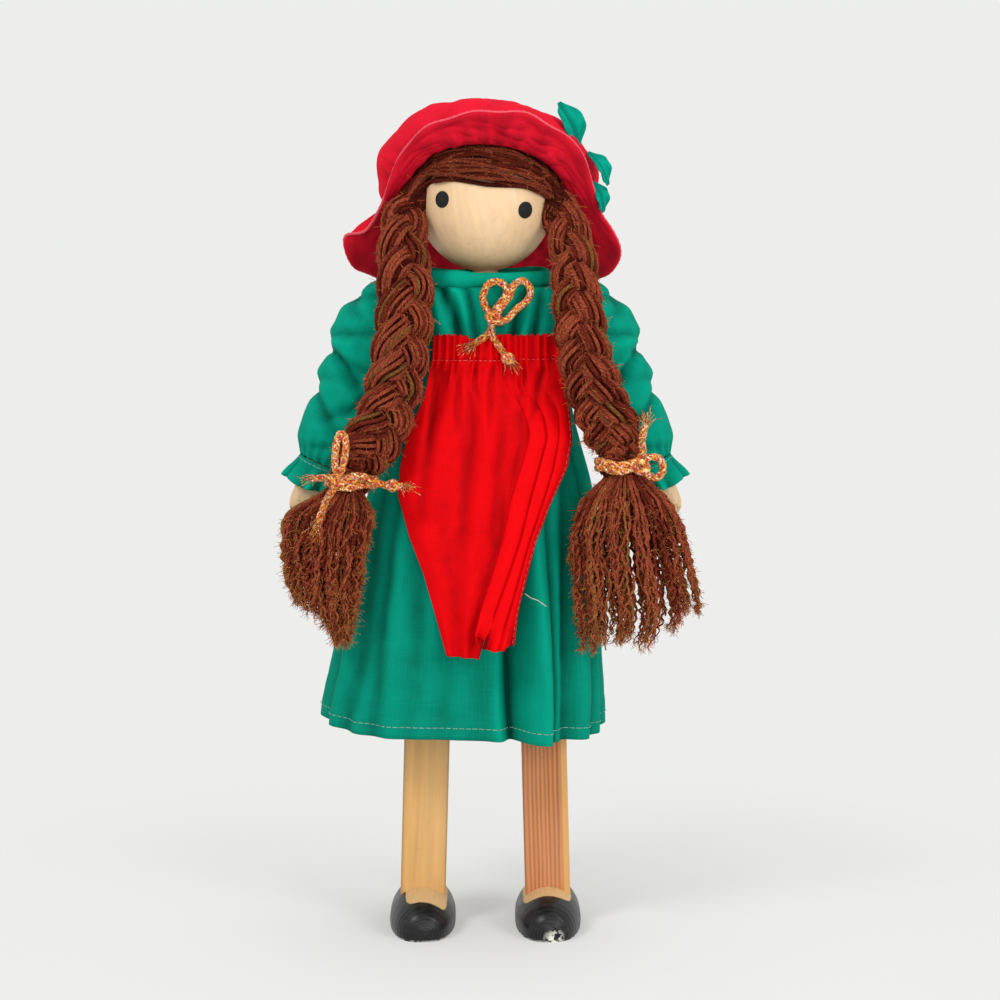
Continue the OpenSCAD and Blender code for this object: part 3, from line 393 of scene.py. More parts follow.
def cloth_finish(name, tone, pitch=0.0004, slubs=0.5, nap=0.0, ridge=1.4):
    """Plain woven cloth on the cut's own measure, with uneven threads, soft fading and a little nap. Painted shade
    darkens the gaps between threads and the folds, and a painted highlight lightens the ridges.
    """
    made, tree, shader = blank(name)
    uv = add_node(tree, "TexCoord").outputs["UV"]
    warp = bands(tree, uv, pitch, "X", 1.2, 1.0, 0.4)
    weft = bands(tree, uv, pitch, "Y", 1.2, 1.0, 0.4)
    over = sum_of(tree, "MULTIPLY", warp, weft)
    slub_up = spots(tree, uv, 1.0, 1.0, 0.5, (2200, 60, 1))
    slub_across = spots(tree, uv, 1.0, 1.0, 0.5, (90, 2200, 1), (3, 5, 0))
    slub = sum_of(tree, "MULTIPLY_ADD", slub_up, 0.6, sum_of(tree, "MULTIPLY", slub_across, 0.4))
    slub = ramp(tree, slub, [(0.46, 0), (0.62, 1)])
    fade = ramp(tree, spots(tree, uv, 70, 3.0, 0.55), [(0.3, 0), (0.72, 1)])
    base = blended(tree, fade, darker(tone, 0.8), darker(tone, 1.05))
    base = blended(tree, sum_of(tree, "MULTIPLY", slub, 0.8 * slubs), base, darker(tone, 1.45))
    # Painted shade between the threads, where the weave lies low
    base = blended(
        tree, sum_of(tree, "MULTIPLY", sum_of(tree, "SUBTRACT", 1.0, over), 0.2), base, darker(tone, 0.45)
    )
    # Painted shade in the folds and a painted highlight on the ridges, from the fold depth each point of the cloth
    # keeps; ridge sets how pale the painted highlight is
    fold = add_node(tree, "Attribute", attribute_name="fold").outputs["Fac"]
    base = blended(tree, sum_of(tree, "MULTIPLY", fold, 0.6, clamp=True), base, darker(tone, 0.25))
    base = blended(tree, sum_of(tree, "MULTIPLY", fold, -0.5, clamp=True), base, darker(tone, ridge))
    tree.links.new(base, shader.inputs["Base Color"])
    height = sum_of(tree, "MULTIPLY_ADD", slub, 0.5, over)
    bump(tree, shader, height, 0.5, WEAVE_DEPTH)
    set_shader(shader, Roughness=0.72, Specular_IOR_Level=0.05, Sheen_Weight=nap, Sheen_Roughness=0.5)
    shader.inputs["Sheen Tint"].default_value = darker(tone, 1.3)
    return made


def yarn_finish(name, tone, length, tip=None, groove=0.5):
    """Twisted yarn: three plies that wind round, with painted shade in the grooves between them, and paler at its end
    where a tip is given.
    """
    made, tree, shader = blank(name)
    uv = add_node(tree, "TexCoord").outputs["UV"]
    parts = add_node(tree, "SeparateXYZ", {0: uv})
    turns = length / 0.0052
    round_it = sum_of(tree, "MULTIPLY", parts.outputs[1], 3.0)
    winding = sum_of(tree, "MULTIPLY_ADD", parts.outputs[0], 3 * turns, round_it)
    wave = sum_of(tree, "ABSOLUTE", sum_of(tree, "SINE", sum_of(tree, "MULTIPLY", winding, math.pi)))
    place = add_node(tree, "TexCoord").outputs["Object"]
    fade = ramp(tree, spots(tree, place, 150, 3.0), [(0.32, 0), (0.7, 1)])
    hairs = spots(tree, uv, 1.0, 2.0, 0.6, (length * 1500, 16, 1))
    fluff = ramp(tree, spots(tree, place, 1000, 3.0, 0.6), [(0.38, 0), (0.62, 1)])
    base = blended(tree, fade, darker(tone, 0.62), darker(tone, 1.35))
    if tip is not None:
        end = ramp(tree, parts.outputs[0], [(0.5, 0), (1.0, 1)])
        base = blended(tree, sum_of(tree, "MULTIPLY", end, 0.9), base, tip)
    base = blended(tree, sum_of(tree, "MULTIPLY", hairs, 0.5), base, darker(tone, 2.1))
    base = blended(tree, sum_of(tree, "MULTIPLY", fluff, 0.6), base, darker(tone, 0.4))
    # Painted shade in the grooves between the plies; groove sets how dark it is
    base = blended(
        tree, sum_of(tree, "MULTIPLY", sum_of(tree, "SUBTRACT", 1.0, wave), groove), base, darker(tone, 0.3)
    )
    tree.links.new(base, shader.inputs["Base Color"])
    height = sum_of(tree, "MULTIPLY_ADD", fluff, -0.9, sum_of(tree, "MULTIPLY_ADD", hairs, 0.8, wave))
    bump(tree, shader, height, 1.0, 0.0004)
    set_shader(shader, Roughness=0.9, Specular_IOR_Level=0.06)
    return made


def fibre_finish(name, tone):
    """Single loose fibres."""
    made, tree, shader = blank(name)
    place = add_node(tree, "TexCoord").outputs["Object"]
    fade = spots(tree, place, 300, 1.0)
    tree.links.new(blended(tree, fade, darker(tone, 0.6), darker(tone, 1.5)), shader.inputs["Base Color"])
    set_shader(shader, Roughness=0.8, Specular_IOR_Level=0.1)
    return made


def strand_finish(name, tone, other, metal, length):
    """Fine metallic strand of a braided cord, with painted glints in small pale patches of its foil and painted shade
    in small dark ones.
    """
    made, tree, shader = blank(name)
    uv = add_node(tree, "TexCoord").outputs["UV"]
    parts = add_node(tree, "SeparateXYZ", {0: uv})
    winding = sum_of(
        tree, "MULTIPLY_ADD", parts.outputs[0], length / 0.0006, sum_of(tree, "MULTIPLY", parts.outputs[1], 2.0)
    )
    wave = sum_of(tree, "ABSOLUTE", sum_of(tree, "SINE", sum_of(tree, "MULTIPLY", winding, math.pi)))
    place = add_node(tree, "TexCoord").outputs["Object"]
    flake = add_node(tree, "TexVoronoi", {"Vector": place, "Scale": 1300.0})
    shade = add_node(tree, "SeparateXYZ", {0: flake.outputs["Color"]})
    base = blended(tree, ramp(tree, shade.outputs[0], [(0.35, 0), (0.75, 1)]), tone, other)
    # Painted glints: small pale patches of the foil
    base = blended(tree, ramp(tree, shade.outputs[1], [(0.80, 0), (0.88, 1)]), base, paler(tone, 0.5))
    # Painted shade: small dark patches
    deep = ramp(tree, shade.outputs[2], [(0.6, 0), (0.8, 1)])
    base = blended(tree, sum_of(tree, "MULTIPLY", deep, 0.7), base, darker(tone, 0.25))
    tree.links.new(base, shader.inputs["Base Color"])
    bump(tree, shader, sum_of(tree, "MULTIPLY_ADD", shade.outputs[1], 1.5, wave), 0.8, 0.00015)
    set_shader(shader, Metallic=metal, Roughness=0.33, Specular_IOR_Level=0.5)
    return made


def wood_finish(
    name, tone, dark_tone, pitch, strength=0.6, turn=(0, 0, 0), pores_way=(900, 900, 22), gloss=0.42,
    wander=2.0, edges=None, line_stops=((0.0, 0), (0.55, 0.3), (1.0, 1)),
):
    """Wood with growth lines pitch apart, fine pores along the grain and a thin worn varnish."""
    made, tree, shader = blank(name)
    place = add_node(tree, "TexCoord").outputs["Object"]
    turned = add_node(tree, "Mapping", {"Vector": place, "Rotation": turn}).outputs[0]
    drawn = add_node(tree, "Mapping", {"Vector": turned, "Scale": (1, 1, 0.09)}).outputs[0]
    lines = ramp(tree, bands(tree, drawn, pitch, "X", wander, 2.0, 0.9), list(line_stops))
    vary = spots(tree, turned, 1.0, 2.0, 0.5, (330, 330, 14), (2, 1, 0))
    pores = ramp(tree, spots(tree, turned, 1.0, 3.0, 0.6, pores_way), [(0.4, 0), (0.75, 1)])
    wide = ramp(tree, spots(tree, turned, 1.0, 2.0, 0.5, (90, 90, 16)), [(0.3, 0), (0.7, 1)])
    depth = sum_of(tree, "MULTIPLY", lines, sum_of(tree, "MULTIPLY_ADD", vary, 1.2, 0.35))
    base = blended(tree, sum_of(tree, "MULTIPLY", depth, strength, 0.0, True), tone, dark_tone)
    base = blended(tree, sum_of(tree, "MULTIPLY", pores, 0.3), base, darker(dark_tone, 0.8))
    base = blended(tree, sum_of(tree, "MULTIPLY", wide, 0.3), base, paler(tone, 0.12))
    if edges is not None:
        middle, lean, stops, edge_tone, share = edges
        parts = add_node(tree, "SeparateXYZ", {0: place})
        across = sum_of(
            tree, "SUBTRACT", parts.outputs[0], sum_of(tree, "MULTIPLY_ADD", parts.outputs[2], lean, middle * MM)
        )
        away = sum_of(tree, "MULTIPLY_ADD", across, 0.5 / 0.00975, 0.5)
        margin = sum_of(tree, "MULTIPLY", ramp(tree, away, stops), share)
        base = blended(tree, margin, base, edge_tone)
    marks = ramp(tree, spots(tree, place, 420, 2.0, 0.4), [(0.70, 0), (0.80, 1)])
    base = blended(tree, sum_of(tree, "MULTIPLY", marks, 0.45), base, darker(dark_tone, 0.5))
    tree.links.new(base, shader.inputs["Base Color"])
    height = sum_of(tree, "MULTIPLY_ADD", pores, -0.5, sum_of(tree, "MULTIPLY", lines, -0.5))
    bump(tree, shader, height, 0.35, 0.00012)
    rough = sum_of(tree, "MULTIPLY_ADD", wide, 0.14, gloss)
    tree.links.new(rough, shader.inputs["Roughness"])
    set_shader(shader, Specular_IOR_Level=0.4)
    return made


def shoe_finish(name, paint, tone, opening, chip_at):
    """Turned foot: bare wood in the opening round the leg, and worn glossy paint over the rest."""
    made, tree, shader = blank(name)
    place = add_node(tree, "TexCoord").outputs["Object"]
    parts = add_node(tree, "SeparateXYZ", {0: place})
    reach = []
    for part, (middle, half) in zip(parts.outputs[:2], opening):
        away = sum_of(tree, "MULTIPLY", sum_of(tree, "SUBTRACT", part, middle * MM), 1 / (half * MM))
        reach.append(sum_of(tree, "POWER", sum_of(tree, "ABSOLUTE", away), 5.0))
    reach = sum_of(tree, "ADD", *reach)
    reach = sum_of(tree, "ADD", reach, sum_of(tree, "MULTIPLY_ADD", spots(tree, place, 300, 3.0, 0.6), 0.24, -0.12))
    bare = ramp(tree, reach, [(0.84, 1), (0.90, 0)])
    lip = sum_of(tree, "MULTIPLY", ramp(tree, reach, [(0.70, 0), (0.86, 1)]), bare)
    low = ramp(tree, sum_of(tree, "MULTIPLY", parts.outputs[2], 100.0), [(0.04, 1), (0.09, 0)])
    chips = ramp(tree, spots(tree, place, 560, 4.0, 0.6), [(0.47, 0), (0.50, 1)])
    worn = add_node(tree, "VectorMath", {0: place, 1: [c * MM for c in chip_at[:3]]}, operation="DISTANCE")
    near = ramp(tree, sum_of(tree, "MULTIPLY", worn.outputs["Value"], 1 / (chip_at[3] * MM)), [(0.45, 1), (1.0, 0)])
    chips = sum_of(tree, "MULTIPLY", chips, near)
    rim = sum_of(tree, "MULTIPLY", low, ramp(tree, spots(tree, place, 260, 2.0, 0.5), [(0.42, 0), (0.5, 1)]))
    chips = sum_of(tree, "MAXIMUM", chips, sum_of(tree, "MULTIPLY", rim, 0.4))
    centred = add_node(tree, "Mapping", {"Vector": place, "Location": (-opening[0][0] * MM, 0, -0.0033)}).outputs[0]
    turned = bands(tree, centred, 0.0013, "Y", 0.8, 1.0, 1.0, "RINGS")
    # Paler in random patches: dust on the paint, together with a painted sheen on the gloss
    dust = ramp(tree, spots(tree, place, 150, 4.0, 0.6, (1, 1, 2.4)), [(0.5, 0), (0.8, 1)])
    coat = blended(tree, sum_of(tree, "MULTIPLY", dust, 0.4), paint, paler(paint, 0.05))
    coat = blended(tree, sum_of(tree, "MULTIPLY", turned, 0.16), coat, paler(paint, 0.05))
    coat = blended(tree, chips, coat, colour(232, 228, 218))
    pores = spots(tree, place, 1.0, 3.0, 0.6, (900, 60, 900))
    wood = blended(tree, pores, tone, darker(tone, 0.72))
    wood = blended(tree, sum_of(tree, "MULTIPLY", lip, 0.55), wood, darker(tone, 0.3))
    tree.links.new(blended(tree, bare, coat, wood), shader.inputs["Base Color"])
    height = sum_of(tree, "MULTIPLY_ADD", bare, -0.9, sum_of(tree, "MULTIPLY", turned, 0.35))
    bump(tree, shader, height, 0.45, 0.00018)
    rough = sum_of(tree, "MULTIPLY_ADD", bare, 0.3, sum_of(tree, "MULTIPLY_ADD", dust, 0.16, 0.32))
    tree.links.new(rough, shader.inputs["Roughness"])
    set_shader(shader, Specular_IOR_Level=0.26)
    return made


# Making pieces


def add_piece(name, mesh, nodes=(), body=None, finishes=()):
    """Puts a finished mesh in the scene, over the frame's nodes that it stands for."""
    for finish in finishes:
        mesh.materials.append(finish)
    obj = bpy.data.objects.new(name, mesh)
    bpy.context.collection.objects.link(obj)
    if nodes:
        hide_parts(*nodes)
    if body:
        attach(obj, body)
    return obj


def softened(points, count, axis, wrap):
    """Mean of each point of a grid and its neighbours along one way of the grid."""
    pads = [(0, 0)] * 3
    pads[axis] = (count, count)
    wide = np.pad(points, pads, "wrap" if wrap else "edge")
    window = 2 * count + 1
    return sum(np.take(wide, range(k, k + points.shape[axis]), axis) for k in range(window)) / window


def hollows(points, heart, closed):
    """Depth in millimetres of each point of a grid under the cloth round it: above 0 in a fold, below on a ridge."""
    soft = points
    for axis in (0, 1):
        step = np.linalg.norm(np.diff(points, axis=axis), axis=2).mean()
        count = max(1, min(int(round(4.5 / step)), points.shape[axis] // 3))
        soft = softened(soft, count, axis, closed and axis == 1)
    facing = np.cross(np.gradient(points, axis=1), np.gradient(points, axis=0))
    facing /= np.maximum(np.linalg.norm(facing, axis=2, keepdims=True), 1e-9)
    if ((points - heart) * facing).sum() < 0:
        facing = -facing
    return ((soft - points) * facing).sum(axis=2)


def on_lap(piece):
    """Bakes a soft piece's place into its mesh, so that it stays where it was made."""
    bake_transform(piece)


def cloth(place, columns, rows, size, inside, closed=False):
    """Cloth from an even grid, moved by place(u, t), with the cut's size in its UV map. Returns mesh and area.

    Its faces look away from the point inside, and a closed cloth is joined where its sides meet.
    """
    bm = bmesh.new()
    bmesh.ops.create_grid(bm, x_segments=columns, y_segments=rows, size=0.5)
    cut = bm.loops.layers.uv.new("UVMap")
    for face in bm.faces:
        for loop in face.loops:
            x, y, _ = loop.vert.co
            loop[cut].uv = ((x + 0.5) * size[0] * MM, (y + 0.5) * size[1] * MM)
    points = np.array(
        [[place(i / columns, j / rows) for i in range(columns + 1)] for j in range(rows + 1)], float
    )
    # Depth of each point's fold, kept as an attribute for the painted shade and highlight of the cloth finish
    depth = hollows(points, np.array(inside, float), closed)
    fold = bm.verts.layers.float.new("fold")
    for vert in bm.verts:
        i, j = round((vert.co.x + 0.5) * columns), round((vert.co.y + 0.5) * rows)
        vert.co = Vector([float(c) * MM for c in points[j, i]])
        vert[fold] = float(depth[j, i])
    if closed:
        bmesh.ops.remove_doubles(bm, verts=bm.verts[:], dist=1e-6)
    bm.normal_update()
    area = sum(face.calc_area() for face in bm.faces)
    heart = Vector([c * MM for c in inside])
    facing = sum((face.calc_center_median() - heart).dot(face.normal) * face.calc_area() for face in bm.faces)
    if facing < 0:
        bmesh.ops.reverse_faces(bm, faces=bm.faces[:])
    for face in bm.faces:
        face.smooth = True
    mesh = bpy.data.meshes.new("cloth")
    bm.to_mesh(mesh)
    bm.free()
    return mesh, area


def thicken(obj, thickness):
    """Gives a cloth its thickness, inwards."""
    shell = obj.modifiers.new("Cloth thickness", "SOLIDIFY")
    shell.thickness = thickness
    shell.offset = -1


def tubes(name, runs, finishes, sides=1, caps=True):
    """One mesh of many round runs. Each run is its points and radii in millimetres and the number of its finish."""
    line = bpy.data.curves.new(name, "CURVE")
    line.dimensions = "3D"
    line.bevel_depth = MM
    line.bevel_resolution = sides
    line.use_fill_caps = caps
    for finish in finishes:
        line.materials.append(finish)
    for points, radius, tone in runs:
        count = len(points)
        spline = line.splines.new("POLY")
        spline.points.add(count - 1)
        rows = np.ones((count, 4))
        rows[:, :3] = np.asarray(points) * MM
        spline.points.foreach_set("co", rows.ravel())
        spline.points.foreach_set("radius", np.broadcast_to(np.asarray(radius, float), count).copy())
        spline.material_index = tone
        spline.use_smooth = True
    rough = bpy.data.objects.new(name + "_line", line)
    bpy.context.collection.objects.link(rough)
    ready = rough.evaluated_get(bpy.context.evaluated_depsgraph_get())
    mesh = bpy.data.meshes.new_from_object(ready)
    bpy.data.objects.remove(rough)
    bpy.data.curves.remove(line)
    return mesh


def stitches(route, dash, gap, radius):
    """Short runs of thread along a route, sunk into the cloth at both ends."""
    spread, _, length = route_points(route, STITCH_STEP)
    runs = []
    start = 0.0
    while start + dash < length:
        first, last = (int(round(v / STITCH_STEP)) for v in (start, start + dash))
        part = spread[first : last + 1].copy()
        if len(part) > 2:
            part[0, 1] += radius
            part[-1, 1] += radius
            runs.append((part, radius, 0))
        start += dash + gap
    return runs


def stray_fibres(chance, places, count, length, tones):
    """Loose fibres that stand off a piece from given places with outward directions."""
    runs = []
    for _ in range(count):
        start, out = places[chance.randrange(len(places))]
        way = np.array(out) * 0.45 + np.array([chance.gauss(0, FIBRE_SPREAD) for _ in range(3)])
        way /= np.linalg.norm(way)
        bend = np.array([chance.gauss(0, 0.5), chance.gauss(0, 0.5), -0.7 * chance.random()])
        reach = length * (0.35 + chance.random())
        line = [start + way * reach * s + bend * reach * 0.6 * s * s for s in (0, 0.5, 1)]
        runs.append((line, FIBRE_R, tones[chance.randrange(len(tones))]))
    return runs


# Hair


def rolled_head(x, y, z, degrees):
    """A place round the middle of the head, turned about Y."""
    c, s = math.cos(math.radians(degrees)), math.sin(math.radians(degrees))
    return np.array([x * c + z * s, y, z * c - x * s])


def hank_runs(chance):
    """Yarns that run over the head and down into the two plaits, side by side."""
    heart = np.array([0, 0, HEAD_Z])
    runs, places = [], []
    layers = ((HEAD_R + 0.7, 1.0, 40), (HEAD_R + 1.7, 0.74, 92), (HEAD_R + 2.5, 0.7, 70))
    for layer, (radius, thick, count) in enumerate(layers):
        for k in range(count):
            degrees = mix(20.0, 203, (k + 0.37 * layer) / count) + chance.gauss(0, 1.1)
            slope = math.radians(degrees)
            flat = mix(0.6, 1.0, ease(degrees / 90))
            lift = chance.gauss(0, 0.25) if layer else 0.0
            gathered = np.array([0, -4.6 * math.cos(slope), 4.0 * math.sin(slope) + 1.0])
            arc = [smooth(PLAIT_LEFT, 0.1), PLAIT_LEFT[0] + gathered]
            phase, sway = chance.random() * 6.3, chance.gauss(0, 0.016)
            for i in range(9):
                turn = math.radians(mix(31, 149, i / 8))
                tilt = slope + 0.03 * math.sin(1.3 * i + phase) + sway * (i - 4)
                c, up = math.cos(turn), math.sin(tilt) * math.sin(turn) ** flat
                deep = math.sqrt(max(0.0, 1 - c * c - up * up))
                way = rolled_head(-c, -deep if degrees < 90 else deep, up, HAIR_ROLL)
                arc.append(heart + way * (radius + lift + 0.3 * math.sin(2.3 * i + k)))
                if layer:
                    places.append((arc[-1] + way * 0.4, way))
            arc = np.array(arc + [PLAIT_RIGHT[0] + gathered, smooth(PLAIT_RIGHT, 0.1)])
            draw = chance.random()
            # The lowest layer takes the darkest tone, painted shade under the other yarns
            tone = 2 if not layer else 1 if draw < 0.55 else 3 if draw > 0.95 else 0
            runs.append(([smooth(arc, i / 36) for i in range(37)], thick * (0.9 + 0.2 * chance.random()), tone))
    return runs, places


def plait_size(sizes, t):
    """Share of the full thickness of a plait at t, which its tie draws in."""
    return mix(float(smooth(np.array(sizes), t)), WAIST_SHARE, ease((t - 0.66) / 0.12))


def plait_runs(route, sizes, lead, twist, chance):
    """Yarns of three strands, which start at lead from the route and cross, and places for loose fibres."""
    turns = 0.47 * 341 / 39
    runs, places = [], []

    def heart_at(t):
        return smooth(route, t) + lead * max(0.0, -t / 0.09)

    for strand in range(3):
        lines = [[] for _ in range(PLAIT_YARNS + 1)]
        loose = [(chance.random() * 6.3, 0.03 + 0.09 * chance.random()) for _ in range(PLAIT_YARNS)]
        for i in range(PLAIT_RINGS):
            t = mix(-0.09, 1, i / (PLAIT_RINGS - 1))
            along = heart_at(min(t + 0.01, 1)) - heart_at(t - 0.01)
            along /= np.linalg.norm(along)
            size = plait_size(sizes, t) * mix(0.55, 1, ease((t + 0.09) / 0.13))
            side = np.array([1.0, 0, 0]) - along * along[0]
            side /= np.linalg.norm(side)
            out = np.cross(along, side)
            c, s = math.cos(twist), math.sin(twist)
            side, out = side * c + out * s, out * c - side * s
            turn = math.radians(360 * t * turns + 120 * strand)
            heart = heart_at(t) + (side * (6.3 * math.sin(turn)) + out * (3.3 * math.sin(2 * turn))) * size
            lines[PLAIT_YARNS].append(heart)
            lean = math.atan(1.15 * math.cos(turn))
            across = side * math.cos(lean) - along * math.sin(lean)
            for k, (phase, wander) in enumerate(loose):
                a = 2 * math.pi * k / PLAIT_YARNS + 0.3 * math.sin(6 * t + k + strand) + 9 * t
                reach = (1 + wander * math.sin(31 * t + phase)) * size
                way = across * math.cos(a) * 5.5 + out * math.sin(a) * 5.2
                lines[k].append(heart + way * reach)
                if i % 3 == 0:
                    places.append((heart + way * (reach + 0.1), way / np.linalg.norm(way)))
        for k in range(PLAIT_YARNS):
            draw = chance.random()
            thick = 0.86 * (0.86 + 0.28 * chance.random())
            runs.append((lines[k], thick, 1 if draw < 0.3 else 2 if draw > 0.95 else 0))
        # Dark core of each strand: painted shade that shows through the gaps between its yarns
        runs.append((lines[PLAIT_YARNS], 4.3, 3))
    return runs, places


def tassel_runs(top, length, half_w, shape, side, chance):
    """Hanging crinkled yarn ends in shells, drawn into locks that part and fray towards their ends."""
    runs, places = [], []
    locks = 12
    ends = [chance.random() for _ in range(locks)]
    for shell, (share, count) in enumerate([(1.0, 70), (0.84, 54), (0.6, 32), (0.3, 14)]):
        for k in range(count):
            a = 2 * math.pi * (k + 0.3 * shell) / count + chance.gauss(0, 0.06)
            lock = int(locks * a / (2 * math.pi)) % locks
            middle = 2 * math.pi * (lock + 0.5) / locks
            right = max(0.0, math.cos(a))
            end = 1 - (0.26 * max(0.0, -math.cos(a)) if side < 0 else 0.22 * right**1.5)
            end -= 0.10 * ends[lock] + 0.07 * chance.random()
            part = 0.4 if side < 0 else 0.45 + 0.4 * right
            wave, start = 2 * math.pi / (3.4 + 3.0 * chance.random()), 6.3 * chance.random()
            slow, wander = 2 * math.pi / (17 + 14 * chance.random()), 6.3 * chance.random()
            drift, crimp = chance.gauss(0, 0.9), 0.5 + chance.random()
            points = []
            for i in range(58):
                t = end * i / 57
                s = smooth(shape, t)
                drawn = a + (middle - a) * part * ease((t - 0.15) * 1.5)
                curl = (0.3 + 0.3 * t) * crimp * ease(5 * t) * (1 + 0.5 * math.sin(slow * length * t))
                stray = drift * math.sin(slow * length * t + wander) * ease(3 * t)
                reach = share * (1 - 0.05 * ease(2 * t)) - 0.04
                coil = wave * length * t + start
                points.append(
                    top
                    + np.array([
                        half_w * (s[0] + s[1] * reach * math.cos(drawn)) + curl * math.sin(coil) + stray,
                        11 * s[2] * reach * math.sin(drawn) + curl * math.cos(coil),
                        -0.3 - length * t,
                    ])
                )
            radius = 0.62 * (0.8 + 0.4 * chance.random())
            draw = chance.random() - 0.34 * abs(math.cos(a)) ** 3
            tone = 2 if draw < 0.03 else 1 if draw > 0.6 else 0
            radii = [radius * (0.8 + 0.2 * ease(i / 10)) * (1 - 0.55 * ease((i - 44) / 13)) for i in range(58)]
            runs.append((points, radii, tone))
            for i in range(4, 58, 3):
                out = np.array([math.cos(a), math.sin(a), -0.8])
                places.append((points[i] + out * 0.4, out))
            if shell < 2:
                places.extend([(points[-1], np.array([0.25 * math.cos(a), 0.25 * math.sin(a), -1.4]))] * 6)
    return runs, places


# Cords


def knot_route(at, size, turns=2.2):
    """Tight loops that wind into a knot."""
    points = []
    for i in range(int(10 * turns) + 1):
        a = 2 * math.pi * i / 10
        points.append((
            at[0] + size * math.cos(a) * (1 - 0.25 * math.sin(2 * a)),
            at[1] - size * 0.75 * math.sin(1.5 * a),
            at[2] + size * math.sin(a) * 0.85,
        ))
    return points


def braid_runs(route, frayed, chance):
    """Round braid of eight strands, four each way round, over and under each other, frayed at its loose ends."""
    spread, heading, _ = route_points(route, BRAID_STEP)
    sides, others = side_frames(heading)
    offset = CORD_D / 2 - BRAID_STEP
    runs = []
    for k in range(8):
        way = 1 if k % 2 else -1
        points = []
        for i, heart in enumerate(spread):
            turn = way * 2 * math.pi * i * BRAID_STEP / BRAID_LAY + 2 * math.pi * k / 8
            lift = offset * (1 + 0.14 * math.sin(4 * turn * way + k * math.pi / 2))
            points.append(heart + (sides[i] * math.cos(turn) + others[i] * math.sin(turn)) * lift)
        runs.append((points, STRAND_R, k % CORD_TONES))
    runs.append((spread, CORD_D / 2 - 0.9, CORD_TONES - 1))
    for last, wanted in zip((0, -1), frayed):
        if not wanted:
            continue
        out = heading[last] * (1 if last else -1)
        for _ in range(26):
            sway = out + np.array([chance.gauss(0, 0.45) for _ in range(3)])
            reach = 2.2 + 3.2 * chance.random()
            start = spread[last] + np.array([chance.gauss(0, 0.7) for _ in range(3)])
            runs.append((
                [start + sway * reach * s + np.array([0, 0, -0.6 * s * s]) for s in (0, 0.4, 0.75, 1)],
                0.13,
                chance.randrange(CORD_TONES),
            ))
    return runs


# Dress


def skirt_point(u, t):
    """Skirt from its gathered seam to its hem, with deep soft folds."""
    a = 360 * u
    s = smooth(SKIRT, t)
    main = 2.6 / HEM_FRONT * t * (0.5 + 0.5 * math.cos(math.radians(9 * a + 130)))
    gather = 0.7 * (0.5 + 0.5 * math.sin(math.radians(38 * a) + 2.0 * math.sin(math.radians(5 * a))))
    gather *= ease(t / 0.05) * (1 - 0.85 * ease(t / 0.4))
    crease = 0.0
    for at, width, depth in SKIRT_CREASES:
        away = (a - at - 3 * math.sin(4 * t + at) + 180) % 360 - 180
        crease += depth * math.exp(-((away / width) ** 2)) * (0.35 + 0.65 * ease(t * 1.3)) * ease(t * 6)
    halves = [
        size * share * (1 - 0.5 * main) - gather - crease - 0.3
        for size, share in zip((HEM_LEFT + 2.0, HEM_RIGHT + 1.2, HEM_FRONT, HEM_BACK), s)
    ]
    x, y = round_at(a, *halves)
    z = mix(SEAM_H, HEM_H - 0.7 - 0.028 * x + 2.5 * max(0.0, (-x - 50) / 25) ** 2, t)
    uneven = (0.9 * ripple(x, y, z * 0.5, 16, 3.0) + 0.35 * ripple(x, y, z, 7, 8.0)) * ease(3 * t)
    return x * (1 + uneven / 60), y * (1 + uneven / 50), z


SKIRT_CREASES = [
    (192, 9, 5.4), (212, 7, 4.2), (229, 6, 3.2), (243, 7, 5.0), (258, 6, 4.0), (270, 13, 8.5), (284.5, 5, 12),
    (293, 4.5, -2.6), (300, 2.6, 2.6), (315, 7, 6.0), (332, 6, 4.0), (350, 7, 5.4), (15, 8, 5.6), (48, 8, 5.8),
    (80, 8, 5.6), (112, 8, 5.8), (146, 8, 5.6), (172, 7, 4.4),
]


def front_at(x, z):
    """How far the skirt's front reaches at a height and a place across, and how flat the apron hangs there."""
    s = smooth(SKIRT, (SEAM_H - z) / (SEAM_H - HEM_H))
    half = (HEM_RIGHT * s[1]) if x > 0 else (HEM_LEFT * s[0])
    inside = 1 - (abs(x) / half) ** SQUARE
    lie = inside ** (1 / SQUARE) if inside > 0 else 0.0
    flat = math.sqrt(max(0.0, 1 - (x / (36 * 1.6)) ** 2))
    return HEM_FRONT * s[2] * max(lie, flat)


def squarer_at(a, half_x, front, back, square=3.4):
    """Point at angle a of an outline that is squarer than the skirt's, as the torso under it is."""
    c, s = math.cos(math.radians(a)), math.sin(math.radians(a))
    half_y = back if s > 0 else front
    reach = (abs(c / half_x) ** square + abs(s / half_y) ** square) ** (-1 / square)
    return reach * c, reach * s


def bodice_point(u, t):
    """Bodice from its waist seam up to the neck, close over the torso's sides."""
    a = 360 * u
    s = smooth(BODICE, t)
    fold = 0.0
    for at, width, depth, lean in BODICE_CREASES:
        away = (a - at - lean * (t - 0.5) + 180) % 360 - 180
        fold += depth * math.exp(-((away / width) ** 2)) * ease(t * 4) * ease((1.15 - t) * 4)
    x, y = squarer_at(a, s[1] * (TORSO_HALF + 0.25), s[2] * BODICE_FRONT, s[3] * BODICE_BACK - fold, 4.4)
    if abs(y) < 15.2:
        x = math.copysign(max(abs(x), s[1] * (TORSO_HALF + 0.2)), x)
    elif y < 0:
        for top, bottom, width, depth in BODICE_FOLDS:
            fold += depth * math.exp(-(((x - mix(bottom, top, t)) / width) ** 2)) * ease((1.1 - t) * 5)
        y = min(y + fold, -14.2)
    z = mix(SEAM_H + 0.3, BODICE_TOP, s[0])
    return x, y - 0.6 * ripple(x, y, z, 9, 1.0), z


